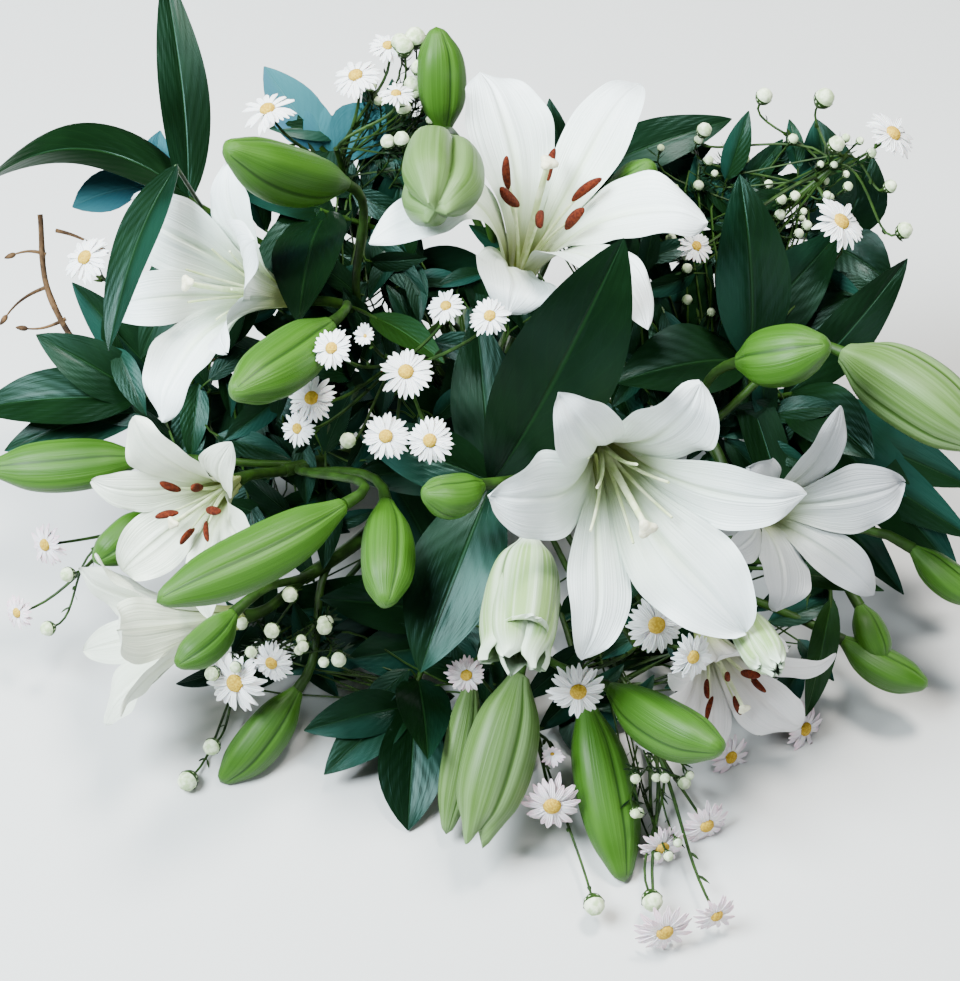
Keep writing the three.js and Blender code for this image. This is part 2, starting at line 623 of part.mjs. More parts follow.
// Leafy stems: a seat, the points that the stem passes, and its blades
const LEAFY = {
  upper_left: {
    seat: 11,
    through: [[-100, 118, -112], [-146, 146, -84]],
    leaves: [
      { tip: [-158, 262, -96], width: 28, faces: [0.4, 0.1, 0.9] },
      { tip: [-250, 152, -96], width: 46, faces: [0, 0.75, 0.6], arch: 28 },
      { base: [-152, 162, -12], tip: [-186, 70, 14], width: 28, faces: [-0.5, 0.3, 0.8], arch: 6 },
      { tip: [-170, 66, -92], width: 30, faces: [-0.2, 0, 1], arch: 4 },
    ],
  },
  upper_middle: {
    seat: 9,
    through: [[-42, 124, -119], [-80, 140, -88]],
    leaves: [
      { tip: [-114, 94, -64], width: 30, faces: [0, 0.6, 0.8], arch: 5 },
      { tip: [-91, 84, -8], width: 39, faces: [-0.2, 0.5, 0.8], arch: 6 },
      { tip: [-124, 150, -84], width: 30, faces: [0, 0.5, 0.8], arch: 5 },
      { low: true, tip: [-34, 172, -98], width: 30, rows: 3 },
      { low: true, tip: [-104, 84, -134], width: 30, rows: 3, arch: 3 },
      { low: true, tip: [-44, 206, -118], width: 32, rows: 3, arch: 3 },
      { low: true, tip: [16, 98, -134], width: 34, rows: 3, arch: 3 },
      { low: true, tip: [-38, 84, -119], width: 32, rows: 3, arch: 1 },
    ],
  },
  left: {
    seat: 15,
    through: [[-118, 50, -130], [-172, 46, -106]],
    leaves: [
      { tip: [-252, 40, -112], width: 38, faces: [0, 0.5, 0.85], arch: 8 },
      { tip: [-222, 78, -100], width: 30, faces: [0, 0.2, 0.95], arch: 4, rows: 3 },
      { low: true, tip: [-112, -34, -98], width: 30, rows: 3, arch: 4 },
      { tip: [-238, 20, -118], width: 32, faces: [0, 0.3, 1], rows: 3, arch: 3 },
      { low: true, tip: [-64, -8, -118], width: 42, rows: 3, arch: 3 },
      { tip: [-204, 104, -104], width: 26, rows: 3, arch: 3 },
      { low: true, tip: [-172, 14, -124], width: 32, rows: 3, arch: 3 },
    ],
  },
  middle: {
    seat: 19,
    through: [[2, 12, -100], [6, 4, -24]],
    leaves: [
      { tip: [72, 126, 52], width: 58, faces: [0.1, -0.35, 0.93], arch: 7, broad: 0.5 },
      { tip: [-30, -91, -4], width: 48, faces: [-0.15, 0.2, 0.95], arch: 7, broad: 0.5 },
      { tip: [-62, 30, -36], width: 32, faces: [0, 0.1, 1], rows: 3, arch: 3 },
      { tip: [-2, 88, -62], width: 36, rows: 3, arch: 3 },
      { low: true, tip: [-64, 6, -66], width: 34, faces: [-0.1, 0.3, 0.95], arch: 5 },
      { low: true, tip: [-62, 64, -84], width: 32, rows: 3, arch: 4 },
      { low: true, tip: [-14, 66, -76], width: 36, rows: 3, arch: 3 },
    ],
  },
  upper_right: {
    seat: 2,
    through: [[90, 60, -120], [135, 66, -84]],
    leaves: [
      { tip: [130, 158, -72], width: 42, faces: [0.2, 0, 0.95], arch: 8 },
      { tip: [68, 54, -62], width: 48, faces: [-0.2, 0.5, 0.85], arch: 5 },
      { tip: [160, -34, -74], width: 24, faces: [0.3, 0, 0.95], arch: 2 },
      { low: true, tip: [112, 124, -108], width: 36, faces: [0.1, 0, 1], arch: 6 },
      { tip: [180, 130, -104], width: 40, faces: [0.1, 0, 1], rows: 3, arch: 4 },
      { tip: [186, 98, -112], width: 34, rows: 3, arch: 4 },
      { low: true, tip: [74, 112, -114], width: 30, rows: 3, arch: 2 },
    ],
  },
  right: {
    seat: 0,
    through: [[112, 44, -130], [156, 48, -98]],
    leaves: [
      { tip: [197, 16, -62], width: 38, faces: [0, 0.3, 0.95], arch: 5 },
      { tip: [214, 116, -104], width: 30, faces: [0.2, -0.2, 0.9], arch: 6 },
      { tip: [240, -44, -120], width: 44, faces: [0.3, 0.2, 0.9], arch: 8 },
      { low: true, tip: [178, 96, -136], width: 34, faces: [0.2, 0, 1], arch: 6 },
      { tip: [246, 2, -116], width: 38, faces: [0.2, 0, 1], rows: 3, arch: 5 },
      { low: true, tip: [150, 114, -134], width: 38, rows: 3, arch: 3 },
      { tip: [246, -24, -110], width: 38, faces: [0.2, 0, 1], rows: 3, arch: 4 },
      { tip: [212, -52, -116], width: 32, faces: [0.2, 0, 1], rows: 3, arch: 4 },
    ],
  },
  bottom: {
    seat: 20,
    through: [[-20, -62, -120], [-36, -108, -86]],
    leaves: [
      { tip: [-88, -120, -78], width: 26, faces: [0, 0.3, 0.95], arch: 3 },
      { tip: [-78, -142, -72], width: 28, faces: [0, 0.4, 0.9], arch: 3 },
      { tip: [-36, -170, -62], width: 36, faces: [0, 0.1, 1], arch: 5, broad: 0.55 },
      { low: true, tip: [-80, -54, -84], width: 32, faces: [-0.1, 0.2, 1], arch: 5 },
      { tip: [-26, -134, -30], width: 30, faces: [0.2, 0.7, 0.7], arch: 4 },
      { low: true, tip: [22, -124, -94], width: 34, rows: 3, arch: 4 },
      { low: true, tip: [-98, -92, -92], width: 30, rows: 3, arch: 4 },
      { low: true, tip: [-130, -64, -100], width: 30, rows: 3, arch: 3 },
      { low: true, tip: [-44, 6, -108], width: 34, rows: 3, arch: 2 },
      { tip: [-66, -84, -94], width: 30, rows: 3, arch: 3 },
    ],
  },
  top: {
    seat: 4,
    through: [[44, 138, -132], [54, 160, -112]],
    leaves: [
      { tip: [62, 194, -110], width: 26, faces: [-0.2, 0, 1], arch: 4 },
      { tip: [126, 186, -122], width: 28, faces: [0.1, 0.2, 1], arch: 6 },
      { low: true, tip: [150, 154, -124], width: 40, rows: 3, arch: 4 },
      { tip: [116, 172, -130], width: 34, rows: 3, arch: 3 },
      { low: true, tip: [118, 122, -136], width: 38, rows: 3, arch: 3 },
    ],
  },
  lower_right: {
    seat: 22,
    through: [[42, -66, -130], [52, -104, -108]],
    leaves: [
      { tip: [58, -140, -92], width: 32, rows: 3, arch: 3 },
      { low: true, tip: [102, -84, -140], width: 34, rows: 3, arch: 3 },
      { low: true, tip: [96, -44, -142], width: 34, rows: 3, arch: 3 },
    ],
  },
  far_right: {
    seat: 1,
    through: [[128, 84, -146], [182, 128, -130]],
    leaves: [
      { tip: [196, 168, -124], width: 34, faces: [0.1, 0, 1], rows: 3, arch: 4 },
      { tip: [168, 186, -124], width: 38, rows: 3, arch: 4 },
      { tip: [206, 104, -118], width: 34, faces: [0.1, 0, 1], rows: 3, arch: 4 },
      { low: true, tip: [146, 150, -146], width: 40, rows: 3, arch: 3 },
    ],
  },
};

// Eucalyptus sprigs, with rounded blades
const EUCALYPTUS = {
  upper_left: {
    seat: 12,
    through: [[-118, 122, -128], [-160, 138, -112], [-166, 152, -108]],
    leaves: [
      { tip: [-204, 142, -104], width: 28, faces: [0, 0.5, 0.9], arch: 4, broad: 0.55 },
      { tip: [-160, 180, -104], width: 22, faces: [0, 0, 1], arch: 3 },
    ],
  },
  top_left: {
    seat: 8,
    through: [[-48, 140, -126], [-80, 172, -104]],
    leaves: [
      { tip: [-108, 212, -92], width: 28, faces: [-0.1, 0.1, 1], arch: 3 },
      { tip: [-84, 198, -96], width: 18, faces: [0, 0, 1], arch: 3 },
      { tip: [-48, 192, -88], width: 32, faces: [0.2, 0, 1], arch: 3, broad: 0.58 },
    ],
  },
};

// Aster sprays: seat, points that the stem passes, heads and unopened heads as [place, radius]
const ASTERS = {
  upper_left: {
    seat: 10,
    through: [[-59, 132, -129], [-72, 171, -75]],
    heads: [[[-106, 190, -38], 14.5], [[-62, 207, -62], 14], [[-46, 222, -80], 11], [[-42, 198, -60], 10]],
    buds: [],
  },
  left: {
    seat: 13,
    through: [[-140, 84, -130], [-186, 104, -104]],
    heads: [[[-197, 116, -76], 15]],
    buds: [],
  },
  upper_right: {
    seat: 3,
    through: [[90, 96, -130], [150, 140, -106], [184, 168, -96]],
    heads: [[[206, 178, -84], 15.5], [[180, 134, -84], 16.5], [[108, 122, -66], 10]],
    buds: [
      [[142, 197, -96], 5], [[172, 196, -96], 6], [[112, 180, -96], 4.5], [[212, 130, -90], 5],
      [[178, 173, -84], 5], [[205, 152, -90], 4],
    ],
  },
  middle: {
    seat: 7,
    through: [[-14, 84, -116], [-46, 58, -44]],
    heads: [
      [[-84, 46, -8], 13], [[-91, 31, -18], 10], [[-47, 27, 6], 12.5], [[-25, 25, 10], 12.5],
      [[-74, 71, 34], 11], [[-57, 77, -2], 7], [[-37, 59, 8], 14], [[-17, 92, 6], 10], [[5, 87, 4], 11],
    ],
    buds: [[[-66, 25, -14], 4.5]],
  },
  middle_right: {
    seat: 24,
    through: [[60, -50, -110], [78, -78, -50]],
    heads: [[[88, -67, -8], 16], [[106, -83, 4], 12.5], [[49, -100, -14], 15.5]],
    buds: [],
  },
  bottom: {
    seat: 21,
    through: [[20, -90, -112], [30, -128, -74]],
    heads: [[[36, -157, -34], 16.5], [[36, -131, -40], 7.5], [[-7, -92, -24], 11]],
    buds: [[[57, -207, -20], 6]],
  },
  bottom_right: {
    seat: 23,
    through: [[66, -84, -112], [94, -142, -70]],
    heads: [
      [[91, -178, -44], 13], [[113, -167, -56], 14], [[92, -220, -8], 16], [[118, -212, -14], 12],
    ],
    buds: [[[86, -205, -20], 6], [[102, -146, -60], 4]],
  },
  lower_right: {
    seat: 25,
    through: [[92, -70, -124], [128, -108, -106]],
    heads: [[[125, -133, -88], 13], [[162, -119, -98], 14], [[145, -112, -94], 10]],
    buds: [],
  },
  lower_left: {
    seat: 18,
    through: [[-70, -48, -126], [-118, -88, -102]],
    heads: [[[-122, -96, -62], 17], [[-104, -86, -54], 12]],
    buds: [
      [[-95, -52, -44], 4.5], [[-104, -70, -46], 4.5], [[-146, -145, -78], 6], [[-134, -128, -74], 5],
    ],
  },
  far_left: {
    seat: 16,
    through: [[-130, 0, -130], [-194, -30, -104]],
    heads: [[[-217, -27, -92], 12], [[-231, -61, -96], 10]],
    buds: [[[-206, -42, -92], 4.5], [[-216, -69, -94], 4.5]],
  },
};

const TWIG = {
  seat: 14,
  through: [[-130, 66, -138], [-182, 58, -122], [-196, 66, -120], [-216, 100, -118], [-220, 138, -116]],
};

// Assembly

const nodes = [];
const addNode = (name, look, solid) => nodes.push({ name, look, solid });

// Forks a stem's top into stalks. Each asks for a branch that arrives at a point in a direction, and
// they leave the stem one after the other, the last of them at its end.
function fork(line, count) {
  let used = 0;
  return (to, toWay, radius, sides, steps) => {
    used++;
    const share = count === 1 ? 1 : lerp(FORK_START, 1, (used - 1) / (count - 1));
    const place = Math.min(share, 0.995) * line.steps;
    const low = line.getPointAt(Math.floor(place) / line.steps);
    const high = line.getPointAt((Math.floor(place) + 1) / line.steps);
    const start = low.clone().lerp(high, place % 1);
    const onward = high.sub(low).normalize();
    const leave = to.clone().sub(start).normalize().add(onward).normalize();
    return stem(reach(start, leave, to, toWay), radius, sides, steps);
  };
}

const bloomBase = ({ throat, way, size = 1 }, gap) =>
  seen(throat).addScaledVector(unit(way), -THROAT_HEIGHT * size - gap);

for (const [name, { seat, through, buds, leaves = [] }] of Object.entries(LILIES)) {
  const line = new StemLine(lilySeat(seat), through, 3);
  const opening = Object.entries(OPENING).filter(([, spec]) => spec.on === name);
  const bloomHere = BLOOMS[name];
  const stalk = fork(line, buds.length + leaves.length + opening.length + (bloomHere ? 1 : 0));
  const pieces = [stem(line, seat === 0 ? MIDDLE_STEM : LILY_STEM, 5, line.steps)];
  for (const piece of buds) {
    const way = seen(piece.tip).sub(seen(piece.base)).normalize();
    pieces.push(bud(piece));
    pieces.push(stalk(seen(piece.base).addScaledVector(way, 2), way, PEDICEL, 4, 2));
  }
  for (const piece of leaves) {
    const way = seen(piece.tip).sub(seen(piece.base)).normalize();
    pieces.push(leaf({ rows: 3, ...piece, base: seen(piece.base) }));
    pieces.push(stalk(seen(piece.base).addScaledVector(way, 4), way, STALK, 4, 2));
  }
  for (const [other, spec] of opening) {
    const way = seen(spec.tip).sub(seen(spec.base)).normalize();
    pieces.push(stalk(seen(spec.base).addScaledVector(way, -CLEAR), way, PEDICEL, 4, 2));
    addNode(`lily_opening_bud_${other}`, PALE_BUD, solidOf(openingBud(spec)));
  }
  if (bloomHere) {
    const gap = TEPAL_THICKNESS / 2 + CLEAR;
    pieces.push(stalk(bloomBase(bloomHere, gap), unit(bloomHere.way), PEDICEL + 0.6, 5, 3));
    addNode(`lily_bloom_${name}`, WHITE_TEPAL, solidOf(bloom(bloomHere)));
    if (bloomHere.pistil !== false) addNode(`lily_stamens_${name}`, ANTHER, stamens(bloomHere));
  }
  addNode(`lily_stem_${name}`, GREEN, fuse(pieces));
}

// A thin stem whose leaves grow one below the other, from its end or from its first bend.
function leafySpray({ seat, through, leaves }) {
  const line = new StemLine(thinSeat(seat), through, 2);
  const pieces = [stem(line, THIN_STEM, 4, line.steps)];
  const joint = (step, n) => {
    const [at, below] = [step, step - 1].map((i) => line.getPointAt(i / line.steps));
    return at.clone().add(below.sub(at).setLength(LEAF_SPACING * n));
  };
  let low = 0;
  leaves.forEach((blade, i) => {
    const node = blade.low ? joint(FIRST_BEND, low++) : joint(line.steps, i);
    const base = blade.base ? seen(blade.base) : node;
    pieces.push(leaf({ ...blade, base }));
    if (blade.base) pieces.push(stem(new THREE.LineCurve3(node, base), STALK, 4, 1));
  });
  return fuse(pieces);
}
for (const [name, spec] of Object.entries(LEAFY))
  addNode(`leafy_stem_${name}`, DARK_LEAF, leafySpray(spec));
for (const [name, spec] of Object.entries(EUCALYPTUS))
  addNode(`eucalyptus_sprig_${name}`, BLUE_LEAF, leafySpray(spec));

for (const [name, { seat, through, heads, buds }] of Object.entries(ASTERS)) {
  const line = new StemLine(thinSeat(seat), through, 2);
  const stalk = fork(line, heads.length + buds.length);
  const pieces = [stem(line, THIN_STEM, 4, line.steps)];
  for (const [spot, radius] of heads) {
    const centre = seen(spot);
    const way = unit([spot[0] / 260, spot[1] / 260, 1]);
    pieces.push(asterHead(centre, way, radius));
    pieces.push(stalk(centre.clone().addScaledVector(way, -3), way, STALK, 3, 2));
  }
  for (const [spot, radius] of buds) {
    const centre = seen(spot);
    const way = unit([spot[0] / 260, spot[1] / 260, 1]);
    pieces.push(asterBud(centre, radius));
    pieces.push(stalk(centre, way, STALK * 0.8, 3, 2));
  }
  addNode(`aster_spray_${name}`, ASTER, fuse(pieces));
}

const twigLine = new StemLine(thinSeat(TWIG.seat), TWIG.through, 2);
addNode("twig", BARK, solidOf(stem(twigLine, THIN_STEM, 4, twigLine.steps)));
addNode("tie", TWINE, solidOf(tie()));

// Onto the table: raise the face, cut flat what would reach into the table, and centre the whole.
const raise = new THREE.Matrix4()
  .makeRotationX(rad(FACE_TILT))
  .setPosition(0, 0, FACE_HEIGHT);
const table = solidOf(new THREE.BoxGeometry(1200, 1200, 100).translate(0, 0, -50));
const bouquet = new THREE.Group();
for (const { name, look, solid } of nodes) {
  const raised = solidOf(geometryOf(solid).applyMatrix4(raise)).subtract(table);
  const mesh = new THREE.Mesh(
    geometryOf(raised),
    new THREE.MeshStandardMaterial({ metalness: 0, ...look }),
  );
  mesh.name = name;
  bouquet.add(mesh);
}
const middle = new THREE.Box3().setFromObject(bouquet).getCenter(vec());
bouquet.position.set(-middle.x, -middle.y, 0);

export default bouquet;
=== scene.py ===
"""The finished look of a hand-tied bouquet of white lilies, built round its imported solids."""

import contextlib
import random
from collections import namedtuple
from math import asin, atan2, cos, exp, hypot, log, pi, radians, sin, sqrt, tau

import bmesh
import bpy
from mathutils import Matrix, Vector


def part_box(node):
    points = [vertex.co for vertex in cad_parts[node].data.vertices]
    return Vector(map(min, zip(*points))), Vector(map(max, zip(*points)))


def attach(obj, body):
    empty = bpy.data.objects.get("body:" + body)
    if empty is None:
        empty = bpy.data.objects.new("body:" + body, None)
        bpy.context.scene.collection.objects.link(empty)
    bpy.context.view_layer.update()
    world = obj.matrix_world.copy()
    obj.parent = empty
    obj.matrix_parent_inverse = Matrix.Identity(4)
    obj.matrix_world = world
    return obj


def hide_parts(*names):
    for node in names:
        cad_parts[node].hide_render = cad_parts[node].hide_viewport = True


bl_info = {
    "name": "Lily bouquet",
    "version": (1, 0, 0),
    "blender": (4, 5, 0),
    "location": "3D View > Sidebar > Bouquet",
    "description": "Makes the petals, buds, leaves, asters, twig and tie of a lily bouquet",
    "category": "Object",
}

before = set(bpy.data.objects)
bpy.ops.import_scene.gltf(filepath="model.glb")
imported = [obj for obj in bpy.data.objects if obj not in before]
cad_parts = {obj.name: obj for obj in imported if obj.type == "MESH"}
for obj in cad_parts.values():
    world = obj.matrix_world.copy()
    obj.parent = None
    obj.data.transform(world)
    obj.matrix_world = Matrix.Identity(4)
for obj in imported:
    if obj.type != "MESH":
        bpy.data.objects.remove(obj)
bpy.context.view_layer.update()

# Places are laid out in millimetres on the bouquet's face, as right, up and out towards the viewer.
METRES = 0.001
FACE_TILT = 40
FACE_HEIGHT = 165
VIEW_DISTANCE = 1150

# The bundle: thin stems in a ring round the lilies', all a little aslant, so that they spiral. Each has its
# own length below the tie, the shortest TAIL_SHARE shorter than the longest.
TIE_BEHIND_FACE = 170
BUNDLE_RISE = -0.342
TAIL_LENGTH = 130
TAIL_SHARE = 0.07
SPIRAL = 0.005
LILY_RING = 9.9
THIN_RING = 17.8
LILY_SEATS = 7
THIN_SEATS = 28
TIE_WIDTH = 24
TIE_INSIDE = 20.25
CORD = 4.8

# Radii of stems and stalks, where stalks and leaves leave a stem, and how strongly a stalk keeps the ways
# of its two ends.
MIDDLE_STEM = 5.4
LILY_STEM = 4.15
THIN_STEM = 1.8
PEDICEL = 2.2
STALK = 1.1
SIDE_TWIG = 0.6
LEAF_SPACING = 4.5
FIRST_BEND = 3
FORK_START = 0.82
PULL = 0.38
CLEAR = 0.35

# Lilies: the inner three tepals are the petals, the outer three the sepals. At the foot each takes up its
# sector, in degrees to each side, and leans out by FOOT_LEAN degrees.
TEPAL_LENGTH = 120
PETAL_WIDTH = 56
SEPAL_WIDTH = 38
PETAL_SECTOR = 42
SEPAL_SECTOR = 31
SEPAL_BEHIND = 1.3
FOOT_LEAN = 11
THROAT_HEIGHT = 40
BLOOM_FOOT = 5.5
PISTIL_HEIGHT = 80
ANTHER_LENGTH = 19.6
ANTHER_THICK = 5.8

# Asters: heads at HEADS_TURN from the middle look outwards by 45 degrees. Heads with a radius under
# YOUNG_HEAD are young, with fewer rays, and still cupped.
HEADS_TURN = 260
YOUNG_HEAD = 9.5
RAYS = 26
YOUNG_RAYS = 16

# Thicknesses of blades, how far a leaf is folded at its rib, the shortest and longest small leaf, and the
# share of its length that its width is.
BLADE = 0.7
OPENING_TEPAL = 0.9
RAY = 0.28
NEEDLE = 0.3
RIB_FOLD = 0.14
SMALL_LEAF = (22, 40)
LEAF_SHARE = 0.42

# Degrees from which two faces show an edge.
EDGE = 50
PETAL_EDGE = 60

# Into how many parts shapes are divided, across and along, or round and along.
PETAL_GRID = (24, 44)
SEPAL_GRID = (16, 44)
OPENING_GRID = (20, 34)
BUD_GRID = (48, 30)
RAY_GRID = (2, 4)
NEEDLE_GRID = (1, 3)
LEAF_STEP = 5
THICK_SIDES = 14
THIN_SIDES = 9
STALK_SIDES = 8
TWIGLET_SIDES = 5
CORD_STEPS = 120
CORD_SIDES = 18

# The camera sees the face squarely, from VIEW_DISTANCE, with a lens for a picture of this height.
PICTURE_HEIGHT = 981
FOCAL_PIXELS = 2300
SENSOR = 36
FLOOR_CLEARANCE = 0.0002

BUNDLE_WAY = Vector((0, BUNDLE_RISE, sqrt(1 - BUNDLE_RISE ** 2)))
BUNDLE_RIGHT = Vector((1, 0, 0))
BUNDLE_UP = BUNDLE_WAY.cross(BUNDLE_RIGHT)
TIE_CENTRE = BUNDLE_WAY * -TIE_BEHIND_FACE


def face_to_frame():
    """Takes places on the face, in millimetres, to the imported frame, in metres."""
    raised = Matrix.Rotation(radians(FACE_TILT), 4, "X") @ Matrix.Scale(METRES, 4)
    low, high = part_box("tie")
    shift = (low + high) / 2 - raised @ TIE_CENTRE
    shift.z = FACE_HEIGHT * METRES
    return Matrix.Translation(shift) @ raised


FACE = face_to_frame()


# Small helpers

def lerp(a, b, share):
    return a + (b - a) * share


def smoothstep(x, low, high):
    share = min(1, max(0, (x - low) / (high - low)))
    return share * share * (3 - 2 * share)


def seen(place):
    """The true place of a point of the face that is given as it is seen."""
    right, up, out = place
    nearer = 1 - out / VIEW_DISTANCE
    return Vector((right * nearer, up * nearer, out))


def square_to(way):
    """Two directions square to a third."""
    side = (Vector((1, 0, 0)) - way * way.x).normalized()
    return side, side.cross(way)


def around(side, other, turn):
    """The way at a turn from one direction towards another."""
    return side * cos(turn) + other * sin(turn)


def outward(spot):
    """The way a head looks: straight out in the middle of the face, and aside further from it."""
    return Vector((spot[0] / HEADS_TURN, spot[1] / HEADS_TURN, 1)).normalized()


def add_object(name, data):
    """An object of the scene that shows a mesh, a lamp or a camera."""
    made = bpy.data.objects.new(name, data)
    bpy.context.scene.collection.objects.link(made)
    return made


def start_of(shape):
    """Where a bud or a narrow leaf starts, and the way it points."""
    base = seen(shape.base)
    return base, (seen(shape.tip) - base).normalized()


def cubic(low, high, start, end, x):
    """From low to high, as numbers or places, with a slope at the start and one at the end."""
    return (
        low + start * x
        + ((high - low) * 3 - start * 2 - end) * x ** 2
        + ((low - high) * 2 + start + end) * x ** 3
    )


def through_points(heights, share):
    """A smooth curve through evenly spaced heights."""
    place = share * (len(heights) - 1)
    i = min(int(place), len(heights) - 2)
    before = heights[max(i - 1, 0)]
    after = heights[min(i + 2, len(heights) - 1)]
    low, high = heights[i], heights[i + 1]
    return cubic(low, high, (high - before) / 2, (after - low) / 2, place - i)


def reach(start, start_way, end, end_way, steps=10):
    """Points of a curve that leaves one place in its direction and arrives at another in its own."""
    handle = (end - start).length * PULL
    a, b, c, d = start, start + start_way * handle, end - end_way * handle, end
    points = []
    for i in range(steps + 1):
        t = i / steps
        u = 1 - t
        points.append(a * u ** 3 + b * 3 * u * u * t + c * 3 * u * t * t + d * t ** 3)
    return points


def in_bundle(seat, above):
    """Where the stem in a seat is, at a distance above the tie."""
    radius, degrees = seat
    x = radius * cos(radians(degrees))
    y = radius * sin(radians(degrees))
    turn = above * SPIRAL
    return (
        TIE_CENTRE + BUNDLE_WAY * above
        + BUNDLE_RIGHT * (x - turn * y) + BUNDLE_UP * (y + turn * x)
    )


def lily_seat(n):
    return (0, 0) if n == 0 else (LILY_RING, 68 + 360 / LILY_SEATS * (n - 1))


def thin_seat(n):
    return THIN_RING, 360 / THIN_SEATS * n


class StemLine:
    """A stem's line from its cut end, straight through the tie and on through its own points."""

    def __init__(self, seat, through, steps_per_bend):
        tail = TAIL_LENGTH * (1 - TAIL_SHARE * abs(sin(4 * radians(seat[1] - 270))))
        straight = [in_bundle(seat, above) for above in (-tail, TIE_WIDTH / 2 + 2)]
        self.points = straight + [seen(place) for place in through]
        self.steps = 1 + steps_per_bend * len(through)

    def point(self, t):
        points = self.points
        place = t * (len(points) - 1)
        i = min(int(place), len(points) - 2)
        p1, p2 = points[i], points[i + 1]
        p0 = points[i - 1] if i else p1 * 2 - p2
        p3 = points[i + 2] if i + 2 < len(points) else p2 * 2 - p1
        d0, d1, d2 = ((b - a).length ** 0.5 for a, b in ((p0, p1), (p1, p2), (p2, p3)))
        start = ((p1 - p0) / d0 - (p2 - p0) / (d0 + d1) + (p2 - p1) / d1) * d1
        end = ((p2 - p1) / d1 - (p3 - p1) / (d1 + d2) + (p3 - p2) / d2) * d1
        return cubic(p1, p2, start, end, place - i)

    def step(self, i):
        """The end of a step: the first step is the straight part."""
        straight = 1 / (len(self.points) - 1)
        if i == 0:
            return self.points[0]
        return self.point(straight + (i - 1) / (self.steps - 1) * (1 - straight))

    def joint(self, step, n):
        """Where the n-th leaf below the end of a step grows."""
        at = self.step(step)
        return at + (self.step(step - 1) - at).normalized() * LEAF_SPACING * n

    def path(self, per_bend=10):
        straight = 1 / (len(self.points) - 1)
        count = per_bend * (len(self.points) - 2)
        bends = [self.point(lerp(straight, 1, i / count)) for i in range(count + 1)]
        return [lerp(self.points[0], self.points[1], i / 4) for i in range(4)] + bends

    def crown(self):
        path = self.path()
        return path[len(path) // 2:]


class Fork:
    """Forks a stem's top into stalks, which leave it one after the other."""

    def __init__(self, line, count):
        self.line = line
        self.count = count
        self.used = 0

    def stalk(self, to, to_way, steps=10):
        share = 1 if self.count == 1 else lerp(FORK_START, 1, self.used / (self.count - 1))
        self.used += 1
        place = min(share, 0.995) * self.line.steps
        low, high = self.line.step(int(place)), self.line.step(int(place) + 1)
        start = lerp(low, high, place % 1)
        onward = (high - low).normalized()
        leave = ((to - start).normalized() + onward).normalized()
        return reach(start, leave, to, to_way, steps)


# Finishes

SAME = (1, 1, 1)
LEAF_GLOSS = (0.42, 0.82, 0.76, 1.0)


class Signal:
    """A socket of a material's nodes that takes part in arithmetic."""

    def __init__(self, finish, socket):
        self.finish = finish
        self.socket = socket

    def maths(self, operation, *values):
        return self.finish.node("ShaderNodeMath", {"operation": operation}, values)

    def __add__(self, other):
        return self.maths("ADD", self, other)

    def __sub__(self, other):
        return self.maths("SUBTRACT", self, other)

    def __rsub__(self, other):
        return self.maths("SUBTRACT", other, self)

    def __mul__(self, other):
        return self.maths("MULTIPLY", self, other)

    def __abs__(self):
        return self.maths("ABSOLUTE", self)

    __radd__ = __add__
    __rmul__ = __mul__

    def sine(self):
        return self.maths("SINE", self)

    def between(self, low, high):
        """Rises smoothly from 0 at low to 1 at high."""
        settings = {"interpolation_type": "SMOOTHSTEP", "clamp": True}
        return self.finish.node("ShaderNodeMapRange", settings, (self, low, high, 0.0, 1.0))


class Finish:
    """A material, made node by node."""

    def __init__(self, name, **surface):
        self.material = bpy.data.materials.new(name)
        self.material.use_nodes = True
        self.tree = self.material.node_tree
        self.shader = self.tree.nodes["Principled BSDF"]
        for key, value in surface.items():
            self.shader.inputs[key.replace("_", " ").title().replace("Ior", "IOR")].default_value = value

    def node(self, kind, settings=None, inputs=(), output=0):
        """Adds a node: its settings come first, then the values or links of its sockets."""
        made = self.tree.nodes.new(kind)
        for key, value in (settings or {}).items():
            setattr(made, key, value)
        pairs = inputs.items() if isinstance(inputs, dict) else enumerate(inputs)
        for key, value in pairs:
            if isinstance(value, Signal):
                self.tree.links.new(value.socket, made.inputs[key])
            else:
                made.inputs[key].default_value = value
        return Signal(self, made.outputs[output])

    def grain(self):
        """How far along a shape a point is, how far across it, and the shape's own tone."""
        vector = self.node("ShaderNodeAttribute", {"attribute_name": "grain"}, output="Vector")
        split = self.node("ShaderNodeSeparateXYZ", inputs=(vector,))
        return [Signal(self, socket) for socket in split.socket.node.outputs]

    def place(self, stretch=(1, 1, 1)):
        vector = self.node("ShaderNodeTexCoord", output="Object")
        return self.node("ShaderNodeMapping", inputs={"Vector": vector, "Scale": stretch})

    def noise(self, scale, detail=3.0, vector=None, roughness=0.55):
        inputs = {"Scale": scale, "Detail": detail, "Roughness": roughness}
        inputs["Vector"] = vector or self.place()
        return self.node("ShaderNodeTexNoise", {"noise_dimensions": "3D"}, inputs)

    def stripes(self, *values):
        """A vector from three numbers, for a pattern that follows a shape."""
        return self.node("ShaderNodeCombineXYZ", inputs=values)

    def mix(self, first, second, factor):
        pair = [c if isinstance(c, Signal) else (*c, 1.0) for c in (first, second)]
        return self.node(
            "ShaderNodeMix", {"data_type": "RGBA"}, {0: factor, 6: pair[0], 7: pair[1]}, output=2
        )

    def show(self, **values):
        """Links what varies over the surface to the shader."""
        for key, value in values.items():
            self.tree.links.new(value.socket, self.shader.inputs[key.replace("_", " ").title()])
        return self.material

    def bump(self, height, distance, strength=1.0):
        inputs = {"Strength": strength, "Distance": distance, "Height": height}
        return self.node("ShaderNodeBump", inputs=inputs)


